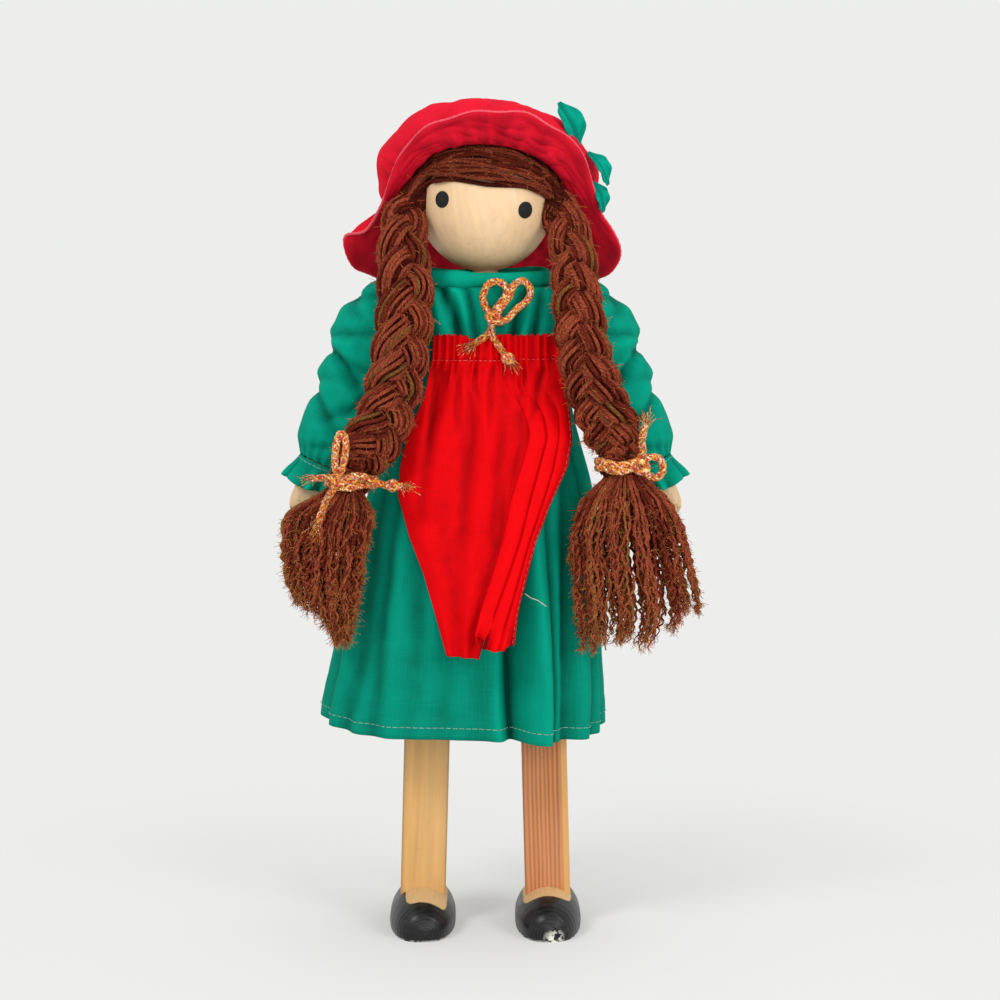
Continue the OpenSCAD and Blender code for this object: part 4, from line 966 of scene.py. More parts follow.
# Folds of the back: middle in degrees, width, depth and lean
# Folds of the front: top and low places, width and depth
BODICE_CREASES = [(60, 7, 2.2, 12), (90, 7, 2.2, 0), (120, 7, 2.2, -12)]
BODICE_FOLDS = [
    (-20, -9, 3.4, 5.2), (-9, -2.5, 2.3, 3.0), (-26, -21, 2.2, 3.0), (19, 9.5, 3.0, 4.6), (25, 19, 2.2, 3.2),
    (10, 4.5, 1.8, 1.8), (-15, -14.5, 1.8, -1.6), (14.5, 14, 1.8, -1.2),
]


def band_point(u, t):
    """Soft roll of cloth round the neck."""
    a = 360 * u
    turn = math.radians(mix(-110, 205, t))
    crumple = math.cos(math.radians(a * 9 + 40 * math.sin(math.radians(3 * a))))
    fat = 2.9 + 0.25 * math.sin(math.radians(5 * a)) + 0.12 * crumple
    out = fat * math.cos(turn)
    front, back = (0.86 * half - 1.9 + out for half in (BODICE_FRONT, BODICE_BACK))
    x, y = squarer_at(a, 0.88 * TORSO_HALF - 2.3 + out, front, back, 2.8)
    rise = fat * math.sin(turn) * (1.05 if turn > 0 else 1.45)
    return x, y, BODICE_TOP + 3.4 + rise + 0.5 * math.sin(math.radians(2 * a + 40)) * ease(t * 3)


def arm_place(right, x, y, down):
    """Point on an arm, from its place beside and down the arm's own middle line."""
    c, s = math.cos(ARM_SPLAY), math.sin(ARM_SPLAY)
    out = x * c + down * s + SHOULDER_X
    return (out if right else -out), y, SHOULDER_Z + x * s - down * c


def sleeve_point(right, u, t):
    """Sleeve in two soft puffs, with a slanting tuck between them and gathers at the wrist."""
    a = 2 * math.pi * u
    s = smooth(SLEEVE, t)
    gather = 0.7 * math.sin(20 * a + math.sin(3 * a)) * (ease((t - 0.78) / 0.22) + 0.4 * (1 - ease(t * 5)))
    slant = 0.035 * math.cos(a + 0.9) + 0.02 * math.sin(3 * a + (1.0 if right else 0.0))
    away = (t - (0.445 if right else 0.47) - slant) / 0.034
    tuck = 2.7 * math.exp(-away * away)
    tuck = tuck - 1.0 * math.exp(-((away + 2.2) ** 2) / 2) - 0.8 * math.exp(-((away - 2.6) ** 2) / 3)
    tuck *= 0.55 + 0.45 * math.cos(a - 0.4)
    for at, lean, width, depth, middle in SLEEVE_FOLDS:
        round_to = a - math.radians(middle)
        off_line = (t - at - lean * math.sin(round_to)) / width
        tuck += depth * math.exp(-off_line * off_line) * max(0.0, 0.5 + 0.5 * math.cos(round_to)) ** 2
    seed = 4.0 if right else 9.0
    around = (20 * math.cos(a), 20 * math.sin(a), 50 * t)
    uneven = 0.9 * ripple(*around, 14, seed) + 0.5 * ripple(*around, 5, seed + 2)
    out, inner, side = (half * share for half, share in zip((20, 14, 18), s[1:]))
    off = uneven * math.sin(math.pi * min(t * 1.1, 1)) - 0.3 - tuck + gather * 0.8
    x = ((out if math.cos(a) > 0 else inner) + off) * math.cos(a)
    y = (side + off) * math.sin(a)
    px, py, pz = arm_place(right, x, y, s[0] * WRIST_AT)
    least = TORSO_HALF + 0.35
    if abs(px) < least:
        px = math.copysign(least, px)
    return px, py, pz


# Soft folds of a sleeve: place down it, lean, width and depth, and the middle of each round the arm in degrees
SLEEVE_FOLDS = [
    (0.15, 0.09, 0.035, 2.2, 300), (0.27, -0.12, 0.035, 2.6, 255), (0.37, 0.08, 0.028, 2.2, 318),
    (0.56, -0.11, 0.032, 2.8, 290), (0.64, 0.13, 0.028, 2.2, 240), (0.74, -0.09, 0.034, 2.6, 308),
    (0.85, 0.09, 0.028, 1.8, 262), (0.22, -0.08, 0.03, 1.8, 350), (0.67, 0.09, 0.03, 1.8, 0),
    (0.3, 0.08, 0.035, 2.2, 90), (0.6, -0.08, 0.035, 2.2, 100), (0.78, 0.08, 0.03, 1.8, 70),
]


def cuff_point(right, u, t):
    """Gathered cuff that flares from the wrist."""
    a = 2 * math.pi * u
    s = SLEEVE[-1]
    wave = 1 + 0.13 * t * math.cos(9 * a) + 0.05 * t * math.cos(14 * a + 1)
    halves = [mix(share * half, 13.6, ease(t * 1.1)) * wave for share, half in zip(s[1:], (20, 14, 18))]
    x = halves[0 if math.cos(a) > 0 else 1] * math.cos(a)
    y = halves[2] * math.sin(a)
    droop = 0.7 * t * math.sin(5 * a + 0.5)
    return arm_place(right, x, y, WRIST_AT + 0.3 + 11.3 * t + droop)


# Apron

APRON_KEYS = [0.0, 0.56, 0.62, 0.70, 0.76, 0.84, 0.90, 1.0]


def apron_point(u, t):
    """One cloth, gathered at the top, whose right side is laid in three pleats."""
    bottoms = [127.6, 126.4, 137.0, 133.0, 131.5, 131.0, 131.6, 133.4]
    k = max(i for i in range(7) if APRON_KEYS[i] <= u)
    f = (u - APRON_KEYS[k]) / (APRON_KEYS[k + 1] - APRON_KEYS[k])
    low = mix(bottoms[k], bottoms[k + 1], f)
    z = mix(APRON_TOP, low, t)
    left, right = read(APRON_EDGES, z, 1), read(APRON_EDGES, z, 2)
    first, second, third = (read(APRON_FOLDS, z, c) for c in (1, 2, 3))
    under = min(4.5, second - first - 0.6)
    folded = [left, first + under, first, second + under * 0.7, second, third + min(3.0, right - third), third, right]
    spread = [mix(left, right, key) for key in APRON_KEYS]
    laid = ease((240 - z) / 26)
    x = mix(mix(spread[k], spread[k + 1], f), mix(folded[k], folded[k + 1], f), laid)
    layers = [0.0, 0.2, 2.5, 1.1, 4.4, 2.6, 6.0, 3.4]
    stand = mix(layers[k], layers[k + 1], f) * laid
    bulge = 2.0 * math.sin(math.pi * f) ** 0.8 * laid if k in (2, 4, 6) else 0.0
    if k > 1:
        curl = 3.4 * ease((t - 0.91) / 0.09) * (1 + 0.6 * math.sin(7 * f + k))
    else:
        curl = 0.8 * ease((t - 0.95) / 0.05)
    count = 17 * u + 0.45 * math.sin(11 * u) + 0.2 * math.sin(37 * u)
    crest = (0.5 + 0.5 * math.cos(2 * math.pi * count)) ** 1.6
    reach = 7 + 17 * (0.5 + 0.5 * math.sin(5.3 * round(count)))
    gather = 1.5 * crest * (1 - ease((249 - z) / reach)) - 0.7 * math.exp(-(((z - 248.7) / 0.8) ** 2))
    soft = 0.0
    for top, low_x, foot, depth, width in APRON_LINES:
        line = mix(top, low_x, (250 - z) / (250 - foot))
        fold = depth * math.exp(-(((x - line) / width) ** 2))
        soft -= fold * ease((250 - z) / 7) * (1 - ease((foot + 10 - z) / 18))
    if k == 0:
        soft += 1.0 * math.sin(4.4 * math.pi * f + 0.8 * math.sin(z / 40)) * ease((250 - z) / 30)
    uneven = 0.6 * ripple(x, 0, z, 13, 5.0) + 0.25 * ripple(x, 0, z, 5, 2.0)
    lift = max(0.9, 2.9 + gather + soft + uneven) + stand + bulge + curl
    dip = 3.2 * math.exp(-(((x + 3) / 3.5) ** 2)) + 0.5 * math.sin(46 * math.pi * u)
    return x, -front_at(x, z) - lift, z - dip * (1 - ease(t * 12))


# Long folds down from the apron's gathers: top and low places, height where each ends, depth and width
APRON_LINES = [
    (-11.5, -11.9, 222, 2.0, 1.5), (2.6, 2.2, 220, 2.0, 1.5), (25, 18.7, 220, 2.0, 1.6), (-17, -28, 186, 1.9, 3.2),
    (-4.5, -10, 172, 2.1, 3.4), (8.5, 4.5, 170, 2.0, 3.2), (17, 11, 200, 1.7, 2.4), (-20, -24, 214, 1.5, 1.6),
]


# Hat

HAT_AT = np.array([0, 0.175 * HEAD_R, HEAD_Z + 0.155 * HEAD_R])
HAT_TILT = math.radians(38)
HAT_UP = np.array([0, math.sin(HAT_TILT), math.cos(HAT_TILT)])
HAT_FRONT = np.array([0, -math.cos(HAT_TILT), math.sin(HAT_TILT)])
HAT_ROLL = 4.0


def rolled_hat(point):
    """The same point with the hat tipped to its side."""
    x, y, z = rolled_head(point[0], point[1], point[2] - HEAD_Z, HAT_ROLL)
    return np.array([x, y, z + HEAD_Z])


def crown_point(u, t):
    """Puffed crown from its gathered seam up to its pole."""
    a = math.radians(360 * u)
    s = smooth(CROWN, t)
    gather = 1 - 0.04 * (1 - t) * ease(4 * t) * (1 + math.cos(a * 12 + math.sin(3 * a))) / 2
    r = (34 if t == 0 else s[1] * HAT_R * gather) if t < 1 else 0.0
    r -= 0.8 * math.sin(24 * a + 1.5 * math.sin(5 * a)) * ease(6 * t) * (1 - ease(2.4 * t))
    spot = HAT_AT + HAT_UP * (s[0] * 37.5) + HAT_FRONT * (r * math.cos(a) - s[2] * HAT_R)
    spot = spot + np.array([r * math.sin(a), 0, 0])
    dent = 2.0 * ripple(*spot, 17, 2.0) + 1.1 * ripple(*spot, 7, 6.0) + 0.45 * ripple(*spot, 3.6, 4.0)
    dent *= math.sin(math.pi * min(t * 1.2, 1))
    return rolled_hat(spot + HAT_UP * (dent - 0.5))


def brim_point(u, t):
    """Brim from its seam out to an edge that follows its own waves."""
    a = math.radians(360 * u)
    seam = rolled_hat(HAT_AT + HAT_FRONT * (33.7 * math.cos(a)) + np.array([33.7 * math.sin(a), 0, 0]))
    edge = smooth(BRIM_EDGE, (u % 1.0 * 24 + 1) / 26)
    wave = 1.2 * t * t * math.sin(a) ** 2 * math.cos(9 * a + math.radians(40))
    small = 0.8 * math.sin(31 * a + 2 * math.sin(4 * a)) * (1 - t) * ease(t * 8) + 0.6 * t * math.sin(17 * a + 3 * t)
    fold = (0.8 * math.sin(7 * a + 5 * t) + 1.9 * ripple(*edge, 8, 3 * t)) * math.sin(math.pi * t)
    roll = 0.9 * math.exp(-(((t - 0.9) / 0.08) ** 2))
    return mix(seam, edge, t) + HAT_UP * (wave + small + fold - roll + 0.6 - 1.5 * ease(t * 6))


BRIM_PLACES = [
    (0.5, -36, 351.4), (16, -34, 350.8), (28.3, -28.5, 344.7), (40, -19.5, 334.5), (44.7, -9.5, 321.8),
    (49.5, 0, 307.5), (57.3, 8, 295.8), (55, 17.5, 284.8), (46, 28, 279.3), (36, 36, 277), (25, 42, 275.5),
    (12.5, 45.5, 275), (0, 46.7, 275), (-12.5, 45.5, 275.5), (-25, 42, 276.5), (-36, 36, 278), (-46.5, 27, 281),
    (-56, 18, 286.5), (-60.3, 10, 297.5), (-50.5, 3.5, 302.5), (-44, -4.5, 313.5), (-35.5, -16.5, 332.5),
    (-26.8, -26.5, 343.4), (-14.1, -33, 349.2),
]
BRIM_EDGE = np.array(BRIM_PLACES[-1:] + BRIM_PLACES + BRIM_PLACES[:2], float)


def leaf_point(base, tip, face, half_w, u, t):
    """Leaf from base to tip, cupped and creased along its veins."""
    along = (tip - base) / np.linalg.norm(tip - base)
    wide = np.cross(face, along)
    wide /= np.linalg.norm(wide)
    up = np.cross(along, wide)
    half = half_w * max(0.1, math.sin(math.pi * mix(0.03, 0.975, t)) ** 0.8)
    side_veins = 0.4 * math.cos(math.pi * (5 * t - 2.4 * abs(u))) * abs(u)
    vein = 1.3 * math.exp(-((u / 0.16) ** 2)) * math.sin(math.pi * t) ** 0.6 + side_veins
    rise = half * (0.3 * u * u + 0.5 * math.sin(math.pi * t)) + 1.5 - vein
    return mix(base, tip, t) + wide * (half * u) + up * rise


# Operators


class DollOperator:
    """What every piece of the doll shares."""

    bl_options = {"REGISTER", "UNDO"}

    def execute(self, context):
        self.make(context.scene.doll_sizes, context.scene.doll_colours)
        return {"FINISHED"}


class DOLL_OT_stage(DollOperator, bpy.types.Operator):
    """Pale floor and backdrop, soft lamps and the camera"""

    bl_idname = "doll.stage"
    bl_label = "Stage"

    def make(self, sizes, colours):
        eye = bpy.data.cameras.new("camera")
        eye.lens = CAMERA_LENS
        eye.sensor_width = 36
        eye.shift_x = CAMERA_SHIFT
        camera = bpy.data.objects.new("camera", eye)
        camera.location = CAMERA_AT
        camera.rotation_euler = (math.radians(90 - CAMERA_DOWN), 0, 0)
        bpy.context.collection.objects.link(camera)
        bpy.context.scene.camera = camera

        bm = bmesh.new()
        bmesh.ops.create_grid(bm, x_segments=8, y_segments=8, size=4)
        mesh = bpy.data.meshes.new("floor")
        bm.to_mesh(mesh)
        bm.free()
        backdrop = colour(237, 238, 236)
        made, tree, shader = blank("Pale floor")
        shader.inputs["Base Color"].default_value = backdrop
        set_shader(shader, Roughness=1.0, Specular_IOR_Level=0.0)
        place = add_node(tree, "TexCoord").outputs["Object"]
        away = add_node(tree, "VectorMath", {0: place}, operation="LENGTH").outputs["Value"]
        far = sum_of(tree, "MULTIPLY", ramp(tree, away, [(0.05, 0.3), (0.3, 1)]), seen_rays(tree))
        glow = add_node(tree, "Emission", {"Color": backdrop, "Strength": 1.0})
        both = add_node(tree, "MixShader", {0: far, 1: shader.outputs[0], 2: glow.outputs[0]})
        tree.links.new(both.outputs[0], tree.nodes["Material Output"].inputs["Surface"])
        mesh.materials.append(made)
        floor = bpy.data.objects.new("floor", mesh)
        bpy.context.collection.objects.link(floor)

        world = bpy.data.worlds.new("studio")
        bpy.context.scene.world = world
        world.use_nodes = True
        tree = world.node_tree
        soft = tree.nodes["Background"]
        soft.inputs[0].default_value = (1, 1, 1, 1)
        soft.inputs[1].default_value = 0.5
        plain = add_node(tree, "Background", {0: backdrop, 1: 1.0})
        both = add_node(tree, "MixShader", {0: seen_rays(tree), 1: soft.outputs[0], 2: plain.outputs[0]})
        tree.links.new(both.outputs[0], tree.nodes["World Output"].inputs["Surface"])
        lamps = [
            ("key lamp", (-0.9, -0.9, 1.25), 0.5, 10.0),
            ("fill lamp", (1.0, -0.95, 0.7), 0.6, 8.0),
            ("front lamp", (0.1, -1.6, 0.45), 0.8, 4.8),
            ("top lamp", (0.1, 0.2, 1.6), 1.0, 4.0),
        ]
        for name, spot, size, watts in lamps:
            light = bpy.data.lights.new(name, "AREA")
            light.size = size
            light.energy = watts
            lamp = bpy.data.objects.new(name, light)
            lamp.location = spot
            lamp.rotation_euler = (Vector((0, 0, 0.18)) - Vector(spot)).to_track_quat("-Z", "Y").to_euler()
            bpy.context.collection.objects.link(lamp)
        view = bpy.context.scene.view_settings
        view.view_transform = "Standard"


class DOLL_OT_wood(DollOperator, bpy.types.Operator):
    """Finishes of the turned and sawn wood, and of the eyes"""

    bl_idname = "doll.wood"
    bl_label = "Wood"

    def make(self, sizes, colours):
        head = tuple(colours.head)
        plain = wood_finish("Pale hard wood", darker(head, 0.9), darker(head, 0.55), 0.0022, 0.35)
        pegs = wood_finish("Peg wood", darker(head, 0.78), darker(head, 0.45), 0.0012, 0.5)
        ball = wood_finish(
            "Turned head wood", head, (0.56, 0.36, 0.2, 1), 0.009, 0.16, (0.1, 0.2, 0.3), (420, 420, 60), 0.36
        )
        arms = wood_finish("Arm wood", darker(head, 0.95), darker(head, 0.6), 0.003, 0.3)
        pale = tuple(colours.leg_pale)
        red = tuple(colours.leg_red)
        left = wood_finish(
            "Pale leg wood", pale, darker(pale, 0.62), 0.0062, 0.3, (0, -0.028, 0.3), (800, 800, 30), 0.4, 4.0,
            (-27.59, 0.02793, [(0.02, 1), (0.07, 0), (0.94, 0), (0.98, 1)], darker(pale, 0.5), 0.55),
        )
        right = wood_finish(
            "Reddish leg wood", red, (0.30, 0.10, 0.025, 1), 0.0018, 0.95, (0, 0.028, 0.05), (900, 900, 26), 0.4,
            3.2, (27.59, -0.02793, [(0.84, 0), (0.875, 1)], pale, 0.85), ((0.0, 0), (0.45, 0.2), (1.0, 1)),
        )
        eye, tree, shader = blank("Eye paint")
        dust = spots(tree, add_node(tree, "TexCoord").outputs["Object"], 900, 2.0)
        paint = tuple(colours.paint)
        tree.links.new(blended(tree, dust, darker(paint, 0.5), paler(paint, 0.02)), shader.inputs["Base Color"])
        set_shader(shader, Roughness=0.45, Specular_IOR_Level=0.12)
        chosen = {
            "torso": plain, "hip_dowel": pegs, "neck_peg": pegs, "head": ball, "eye_left": eye,
            "eye_right": eye, "thigh_left": left, "thigh_right": right, "shin_left": left, "shin_right": right,
        }
        for side, step in (("left", -1), ("right", 1)):
            chosen["upper_arm_" + side] = chosen["forearm_" + side] = arms
            for peg in ("shoulder_peg_", "elbow_peg_", "knee_peg_"):
                chosen[peg + side] = pegs
            opening = ((-25.6, 9.3), (-6.5, 18.2)) if step < 0 else ((26.8, 10.8), (-4.0, 15.6))
            chip_at = (-24.0, -37.0, 1.0, 2.0) if step < 0 else (29.8, -35.5, 1.0, 6.0)
            chosen["foot_" + side] = shoe_finish("Shoe " + side, paint, colour(230, 190, 134), opening, chip_at)
        for name, finish in chosen.items():
            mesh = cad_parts[name].data
            mesh.materials.clear()
            mesh.materials.append(finish)


class DOLL_OT_hair(DollOperator, bpy.types.Operator):
    """Yarn over the head, in two plaits and in the tassels under their ties"""

    bl_idname = "doll.hair"
    bl_label = "Hair"

    def make(self, sizes, colours):
        yarn, dark, gold = (tuple(tone) for tone in (colours.yarn, colours.yarn_dark, colours.yarn_gold))
        fibres = [
            fibre_finish("Loose fibre", darker(yarn, 1.5)),
            fibre_finish("Golden loose fibre", darker(gold, 0.85)),
            fibre_finish("Dark loose fibre", darker(dark, 0.6)),
        ]
        chance = random.Random(11)

        def fuzz(name, places, count, length, tones):
            mesh = tubes(name, stray_fibres(chance, places, count, length, tones), fibres, 0, False)
            return add_piece(name, mesh)

        # Painted shade: the brown yarns over the head are darker copies of the plait yarns, as in the hat's shadow,
        # and the yarn under the hair is darker still
        tones = [
            yarn_finish("Yarn over the head", darker(yarn, 0.72), 0.09),
            yarn_finish("Dark yarn over the head", darker(dark, 0.72), 0.09),
            yarn_finish("Shaded yarn under the hair", darker(dark, 0.35), 0.09),
            yarn_finish("Golden yarn over the head", darker(gold, 0.55), 0.09),
        ]
        runs, places = hank_runs(chance)
        add_piece("hair_over_head", tubes("hair_over_head", runs, tones), ["hair_hank"], "torso")
        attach(fuzz("fuzz_over_head", places, 6000, 2.0, (0, 2, 2, 2, 1)), "torso")
        tones = [
            yarn_finish("Yarn in the plaits", yarn, 0.17),
            yarn_finish("Dark yarn in the plaits", dark, 0.17),
            yarn_finish("Golden yarn in the plaits", darker(gold, 0.5), 0.17),
            # Painted shade inside the strands
            yarn_finish("Shaded heart of the plaits", darker(dark, 0.4), 0.17),
        ]
        plaits = (
            ("left", PLAIT_LEFT, [0.75, 0.95, 1, 1, 1, 1, 0.95, 0.8], (9.8, 7, 13), -0.4),
            ("right", PLAIT_RIGHT, [0.72, 0.78, 0.86, 0.95, 0.98, 0.97, 0.9, 0.8], (-8.5, 7, 11), 0.3),
        )
        for side, route, shares, lead, twist in plaits:
            runs, places = plait_runs(route, shares, np.array(lead), twist, chance)
            name = "yarn_plait_" + side
            on_lap(add_piece(name, tubes(name, runs, tones), ["plait_" + side]))
            on_lap(fuzz("fuzz_plait_" + side, places, 9500, 2.4, (0, 0, 2, 2, 1)))
        tones = [
            yarn_finish("Yarn in the tassels", yarn, 0.07, darker(gold, 0.8), 0.2),
            yarn_finish("Dark yarn in the tassels", dark, 0.07, yarn, 0.2),
            yarn_finish("Golden yarn in the tassels", darker(gold, 0.7), 0.07, gold, 0.2),
        ]
        tassels = (
            ("left", PLAIT_LEFT[-1], 67, 17.5, TASSEL_LEFT, -1),
            ("right", PLAIT_RIGHT[-1], 77, 25, TASSEL_RIGHT, 1),
        )
        for side, top, length, half_w, shape, way in tassels:
            runs, places = tassel_runs(top, length, half_w, shape, way, chance)
            name = "yarn_tassel_" + side
            on_lap(add_piece(name, tubes(name, runs, tones), ["tassel_" + side]))
            on_lap(fuzz("fuzz_tassel_" + side, places, 8500, 2.2, (0, 1, 1, 2)))


class DOLL_OT_cords(DollOperator, bpy.types.Operator):
    """Braided metallic cord in the bow on the chest and in the ties of the plaits"""

    bl_idname = "doll.cords"
    bl_label = "Cords"

    def make(self, sizes, colours):
        tones = [
            strand_finish("Gold strand", colour(255, 176, 60), colour(206, 92, 24), 0.45, 0.08),
            strand_finish("Cream strand", colour(255, 214, 120), colour(232, 130, 50), 0.35, 0.08),
            strand_finish("Rose strand", colour(216, 38, 44), colour(240, 122, 60), 0.3, 0.08),
            strand_finish("Copper strand", colour(206, 80, 34), colour(255, 196, 96), 0.4, 0.08),
        ]
        chance = random.Random(5)
        pieces = {
            "chest_bow": [
                ([(3, -28.5, 267), (0.3, -27.4, 270), (-1, -27.2, 274.5), (0.8, -27, 279.5), (4.8, -26.8, 281),
                  (8.3, -27, 279), (8.6, -27.4, 275.5), (4, -29, 269.5)], (False, False)),
                ([(4.5, -30.5, 266), (6.2, -29, 270), (10, -27.5, 275), (11.8, -27, 279.5), (15.6, -26.8, 281.3),
                  (18.6, -27, 278), (17.6, -27.2, 273.5), (12.8, -27.8, 269.5), (9, -28.6, 265.6),
                  (4.5, -30, 264)], (False, False)),
                ([(2.6, -30, 265), (2.6, -31.2, 259.5), (4.6, -32, 256), (7.4, -32, 252), (9.6, -32, 248.5)],
                 (False, True)),
                ([(3, -31, 262), (0.5, -31.6, 259), (-4.8, -31.8, 255.6)], (False, True)),
                (knot_route((3.4, -30.0, 266.4), 2.1), (False, False)),
                (knot_route((9.4, -32, 249.4), 1.5), (False, False)),
            ],
            "plait_tie_left": [
                ([(-60.2, -45.3, 199.8), (-61.5, -49.4, 207), (-61, -51.5, 215), (-59.5, -51.8, 220),
                  (-57.6, -51.6, 219.5), (-57, -51, 214), (-58.5, -49.5, 206.5), (-60.9, -46, 201)], (False, False)),
                ([(-59.4, -45.6, 200.4), (-56, -47.6, 202), (-51, -48.5, 202.5), (-45, -49, 200),
                  (-39.5, -49.5, 198.5), (-34, -50, 198.5)], (False, True)),
                ([(-60.6, -45.5, 199.2), (-65, -50.5, 193), (-68.5, -52, 184)], (False, True)),
                ([(-61, -45.2, 200.7), (-66, -47, 201.5), (-71, -45.5, 201)], (False, True)),
                (knot_route((-60.2, -45.6, 200.4), 2.0), (False, False)),
                (knot_route((-38.0, -49.6, 198.7), 1.4), (False, False)),
            ],
            "plait_tie_right": [
                ([(61, -44.8, 206), (64.5, -48.5, 212), (64, -50, 217), (65.5, -50, 224)], (False, True)),
                ([(61, -44.8, 206), (66.5, -48, 210), (71.5, -47.5, 209.5), (73, -47, 204.5),
                  (69.5, -47.5, 201.5), (64.5, -47, 205)], (False, True)),
                (knot_route((63.6, -46.2, 206.4), 2.6, 3.2), (False, False)),
            ],
        }
        r = WAIST_SHARE * (PLAIT_SWING + PLAIT_STRAND_R) + 0.3 + CORD_D / 2
        for route, name in ((PLAIT_LEFT, "plait_tie_left"), (PLAIT_RIGHT, "plait_tie_right")):
            for t in (0.94, 0.88):
                heart = smooth(route, t)
                angles = [2 * math.pi * k / 24 for k in range(25)]
                turn = [
                    heart + np.array([r * math.cos(a), r * math.sin(a), 0.6 * math.sin(k)])
                    for k, a in enumerate(angles)
                ]
                turn[-1] = turn[0]
                pieces[name].append((turn, (False, False)))
        for name, routes in pieces.items():
            runs = []
            for route, frayed in routes:
                runs += braid_runs(route, frayed, chance)
            piece = add_piece(name + "_cord", tubes(name + "_cord", runs, tones), [name])
            if name == "chest_bow":
                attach(piece, "torso")
            else:
                on_lap(piece)


class DOLL_OT_dress(DollOperator, bpy.types.Operator):
    """Bodice, neck band, skirt, sleeves and cuffs"""

    bl_idname = "doll.dress"
    bl_label = "Dress"

    def make(self, sizes, colours):
        green = tuple(colours.dress)
        finish = cloth_finish("Green dress cloth", green)
        # Painted shade under the head: the neck band is the dress cloth made darker
        band = cloth_finish("Shaded green neck cloth", darker(green, 0.85))
        # Painted shade: the skirt is the dress cloth made darker
        deep = cloth_finish("Shaded green skirt cloth", darker(green, 0.86))
        thread = fibre_finish("Green sewing thread", paler(green, 0.25))
        thick = sizes.dress_cloth

        mesh, area = cloth(skirt_point, 360, 76, (420, 158), (0, 0, 170), True)
        skirt = add_piece("skirt_cloth", mesh, ["dress_skirt"], None, [deep])
        thicken(skirt, thick)
        on_lap(skirt)
        hem = [np.array(skirt_point(k / 300, 0.968)) * (1.006, 1.006, 1) for k in range(301)]
        mesh = tubes("hem_stitches", stitches(hem, 1.9, 0.9, 0.16), [thread], 0)
        on_lap(add_piece("hem_stitches", mesh))

        mesh, area = cloth(bodice_point, 160, 26, (175, 31), (0, 0, 262), True)
        piece = add_piece("bodice_cloth", mesh, ["dress_bodice"], "torso", [finish])
        thicken(piece, thick)
        mesh, area = cloth(band_point, 240, 10, (150, 10), (0, 0, 284), True)
        piece = add_piece("neck_band_cloth", mesh, ["neck_band"], "torso", [band])
        thicken(piece, thick * 1.4)

        for side, right in (("left", False), ("right", True)):
            down = arm_place(right, 0, 0, 40)
            mesh, area = cloth(lambda u, t: sleeve_point(right, u, t), 120, 64, (110, 84), down, True)
            name = "sleeve_" + side
            piece = add_piece(name + "_cloth", mesh, [name], None, [finish])
            thicken(piece, thick)
            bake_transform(piece)
            wrist = arm_place(right, 0, 0, 78)
            mesh, area = cloth(lambda u, t: cuff_point(right, u, t), 144, 12, (90, 12), wrist, True)
            name = "cuff_" + side
            piece = add_piece(name + "_cloth", mesh, [name], "forearm_" + side, [finish])
            thicken(piece, thick)
            ring = []
            for k in range(121):
                out = 0.25 * np.array([0, math.sin(2 * math.pi * k / 120), 0])
                ring.append(np.array(cuff_point(right, k / 120, 0.12)) + out)
            mesh = tubes(name + "_stitches", stitches(ring, 1.6, 0.8, 0.17), [thread], 0)
            add_piece(name + "_stitches", mesh, (), "forearm_" + side)


class DOLL_OT_apron(DollOperator, bpy.types.Operator):
    """Gathered and pleated apron with its hand stitching"""

    bl_idname = "doll.apron"
    bl_label = "Apron"

    def make(self, sizes, colours):
        red = tuple(colours.apron)
        finish = cloth_finish("Red apron cloth", red, 0.0005, 0.3, 0.0, 1.12)
        thread = fibre_finish("Apron thread", colour(232, 84, 84))
        mesh, area = cloth(apron_point, 220, 92, (110, 131), (0, 20, 190))
        piece = add_piece("apron_cloth", mesh, ["apron"], None, [finish])
        thicken(piece, sizes.apron_cloth)
        on_lap(piece)

        def on_apron(u, t, lift):
            x, y, z = apron_point(u, t)
            return np.array([x, y - lift, z])

        runs = stitches([on_apron(k / 60, 0.08, 0.3) for k in range(61)], 1.5, 1.1, 0.17)
        runs += stitches([on_apron(0.985, k / 60, 0.3) for k in range(8, 61)], 1.6, 1.2, 0.14)
        runs.append(([(16.3, -56.5, 154.9), (18.4, -58.6, 153.6), (21.5, -58.2, 152.4), (25, -56, 149.5)], 0.16, 1))
        loose = fibre_finish("Loose apron thread", colour(196, 178, 160))
        mesh = tubes("apron_stitches", runs, [thread, loose], 0)
        on_lap(add_piece("apron_stitches", mesh))


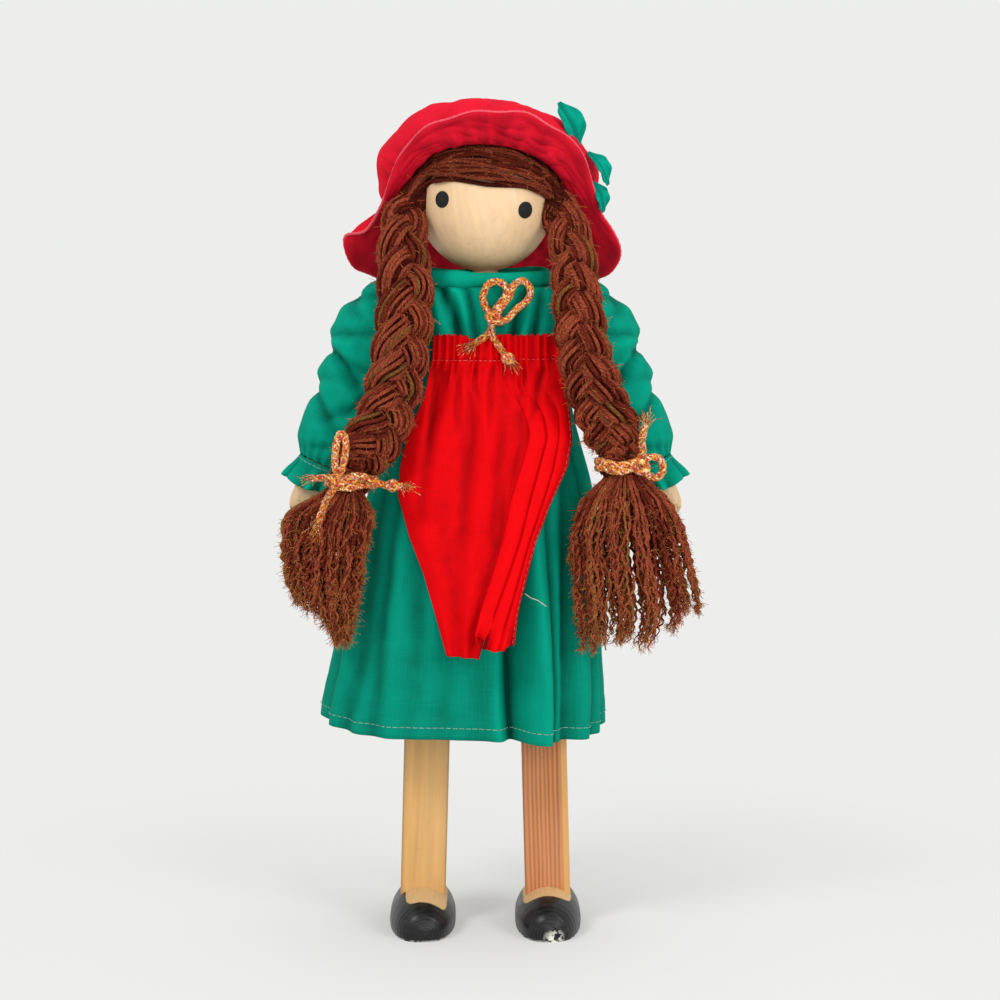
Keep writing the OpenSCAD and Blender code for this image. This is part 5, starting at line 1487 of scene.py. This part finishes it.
class DOLL_OT_hat(DollOperator, bpy.types.Operator):
    """Puffed crown, wavy brim with its folded edge, and three cloth leaves"""

    bl_idname = "doll.hat"
    bl_label = "Hat"

    def make(self, sizes, colours):
        red = tuple(colours.hat)
        finish = cloth_finish("Red hat cloth", red, 0.0006, 0.3, 0.3)
        # Painted highlight: the brim's rolled edge is a paler red than the hat
        edge = cloth_finish("Painted highlight on the hat edge", tuple(colours.hat_edge_highlight), 0.0006, 0.4, 0.2)
        heart = rolled_hat(HAT_AT + HAT_UP * 12)
        mesh, area = cloth(crown_point, 240, 60, (300, 60), heart, True)
        piece = add_piece("crown_cloth", mesh, ["hat_crown"], "torso", [finish])
        thicken(piece, sizes.hat_cloth)
        mesh, area = cloth(brim_point, 320, 22, (300, 26), heart - HAT_UP * 60, True)
        piece = add_piece("brim_cloth", mesh, ["hat_brim"], "torso", [finish])
        thicken(piece, sizes.hat_cloth)
        rim = [brim_point(k / 320, 1.0) for k in range(320)]
        rim.append(rim[0])
        mesh = tubes("brim_edge", [(rim, [0.62 + 0.12 * math.sin(23 * k / 9) for k in range(321)], 0)], [edge], 1)
        add_piece("brim_edge", mesh, (), "torso")

        leaf = cloth_finish("Green leaf cloth", tuple(colours.leaf), 0.0005, 0.5)
        leaves = (
            ("upper", (0.80, -0.25, 0.41), (-9, -3, 19), (0.6, -0.8, 0), 1.0),
            ("middle", (0.885, -0.19, 0.35), (9, 1, -15), (0.7, -0.6, 0.3), 0.8),
            ("lower", (0.93, -0.19, 0.10), (4, 2, -12), (0.7, -0.7, 0), 0.68),
        )
        for name, share, way, face, size in leaves:
            base = HAT_AT + np.array(share) * HAT_R
            tip = base + np.array(way) / np.linalg.norm(way) * 20 * size
            half = 5.5 * size
            mesh, area = cloth(
                lambda u, t: leaf_point(base, tip, np.array(face), half, 2 * u - 1, t), 16, 26,
                (11 * size, 20 * size), base - np.array(face) * 50,
            )
            piece = add_piece("leaf_" + name, mesh, ["hat_leaf_" + name], "torso", [leaf])
            thicken(piece, 0.0005)


class DOLL_PT_pieces(bpy.types.Panel):
    """Lists the doll's pieces in the sidebar"""

    bl_idname = "DOLL_PT_pieces"
    bl_label = "Pegged wooden doll"
    bl_space_type = "VIEW_3D"
    bl_region_type = "UI"
    bl_category = "Doll"

    def draw(self, context):
        for operator in OPERATORS:
            self.layout.operator(operator.bl_idname)
        for group in (context.scene.doll_sizes, context.scene.doll_colours):
            for key in group.__annotations__:
                self.layout.prop(group, key)


OPERATORS = (
    DOLL_OT_stage,
    DOLL_OT_wood,
    DOLL_OT_hair,
    DOLL_OT_cords,
    DOLL_OT_dress,
    DOLL_OT_apron,
    DOLL_OT_hat,
)
CLASSES = (DollSizes, DollColours) + OPERATORS + (DOLL_PT_pieces,)


def register():
    for made in CLASSES:
        bpy.utils.register_class(made)
    bpy.types.Scene.doll_sizes = bpy.props.PointerProperty(type=DollSizes)
    bpy.types.Scene.doll_colours = bpy.props.PointerProperty(type=DollColours)


def unregister():
    del bpy.types.Scene.doll_colours
    del bpy.types.Scene.doll_sizes
    for made in reversed(CLASSES):
        bpy.utils.unregister_class(made)


def main():
    register()
    bpy.ops.doll.stage()
    bpy.ops.doll.wood()
    bpy.ops.doll.hair()
    bpy.ops.doll.cords()
    bpy.ops.doll.dress()
    bpy.ops.doll.apron()
    bpy.ops.doll.hat()
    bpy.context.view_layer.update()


if __name__ == "__main__":
    main()
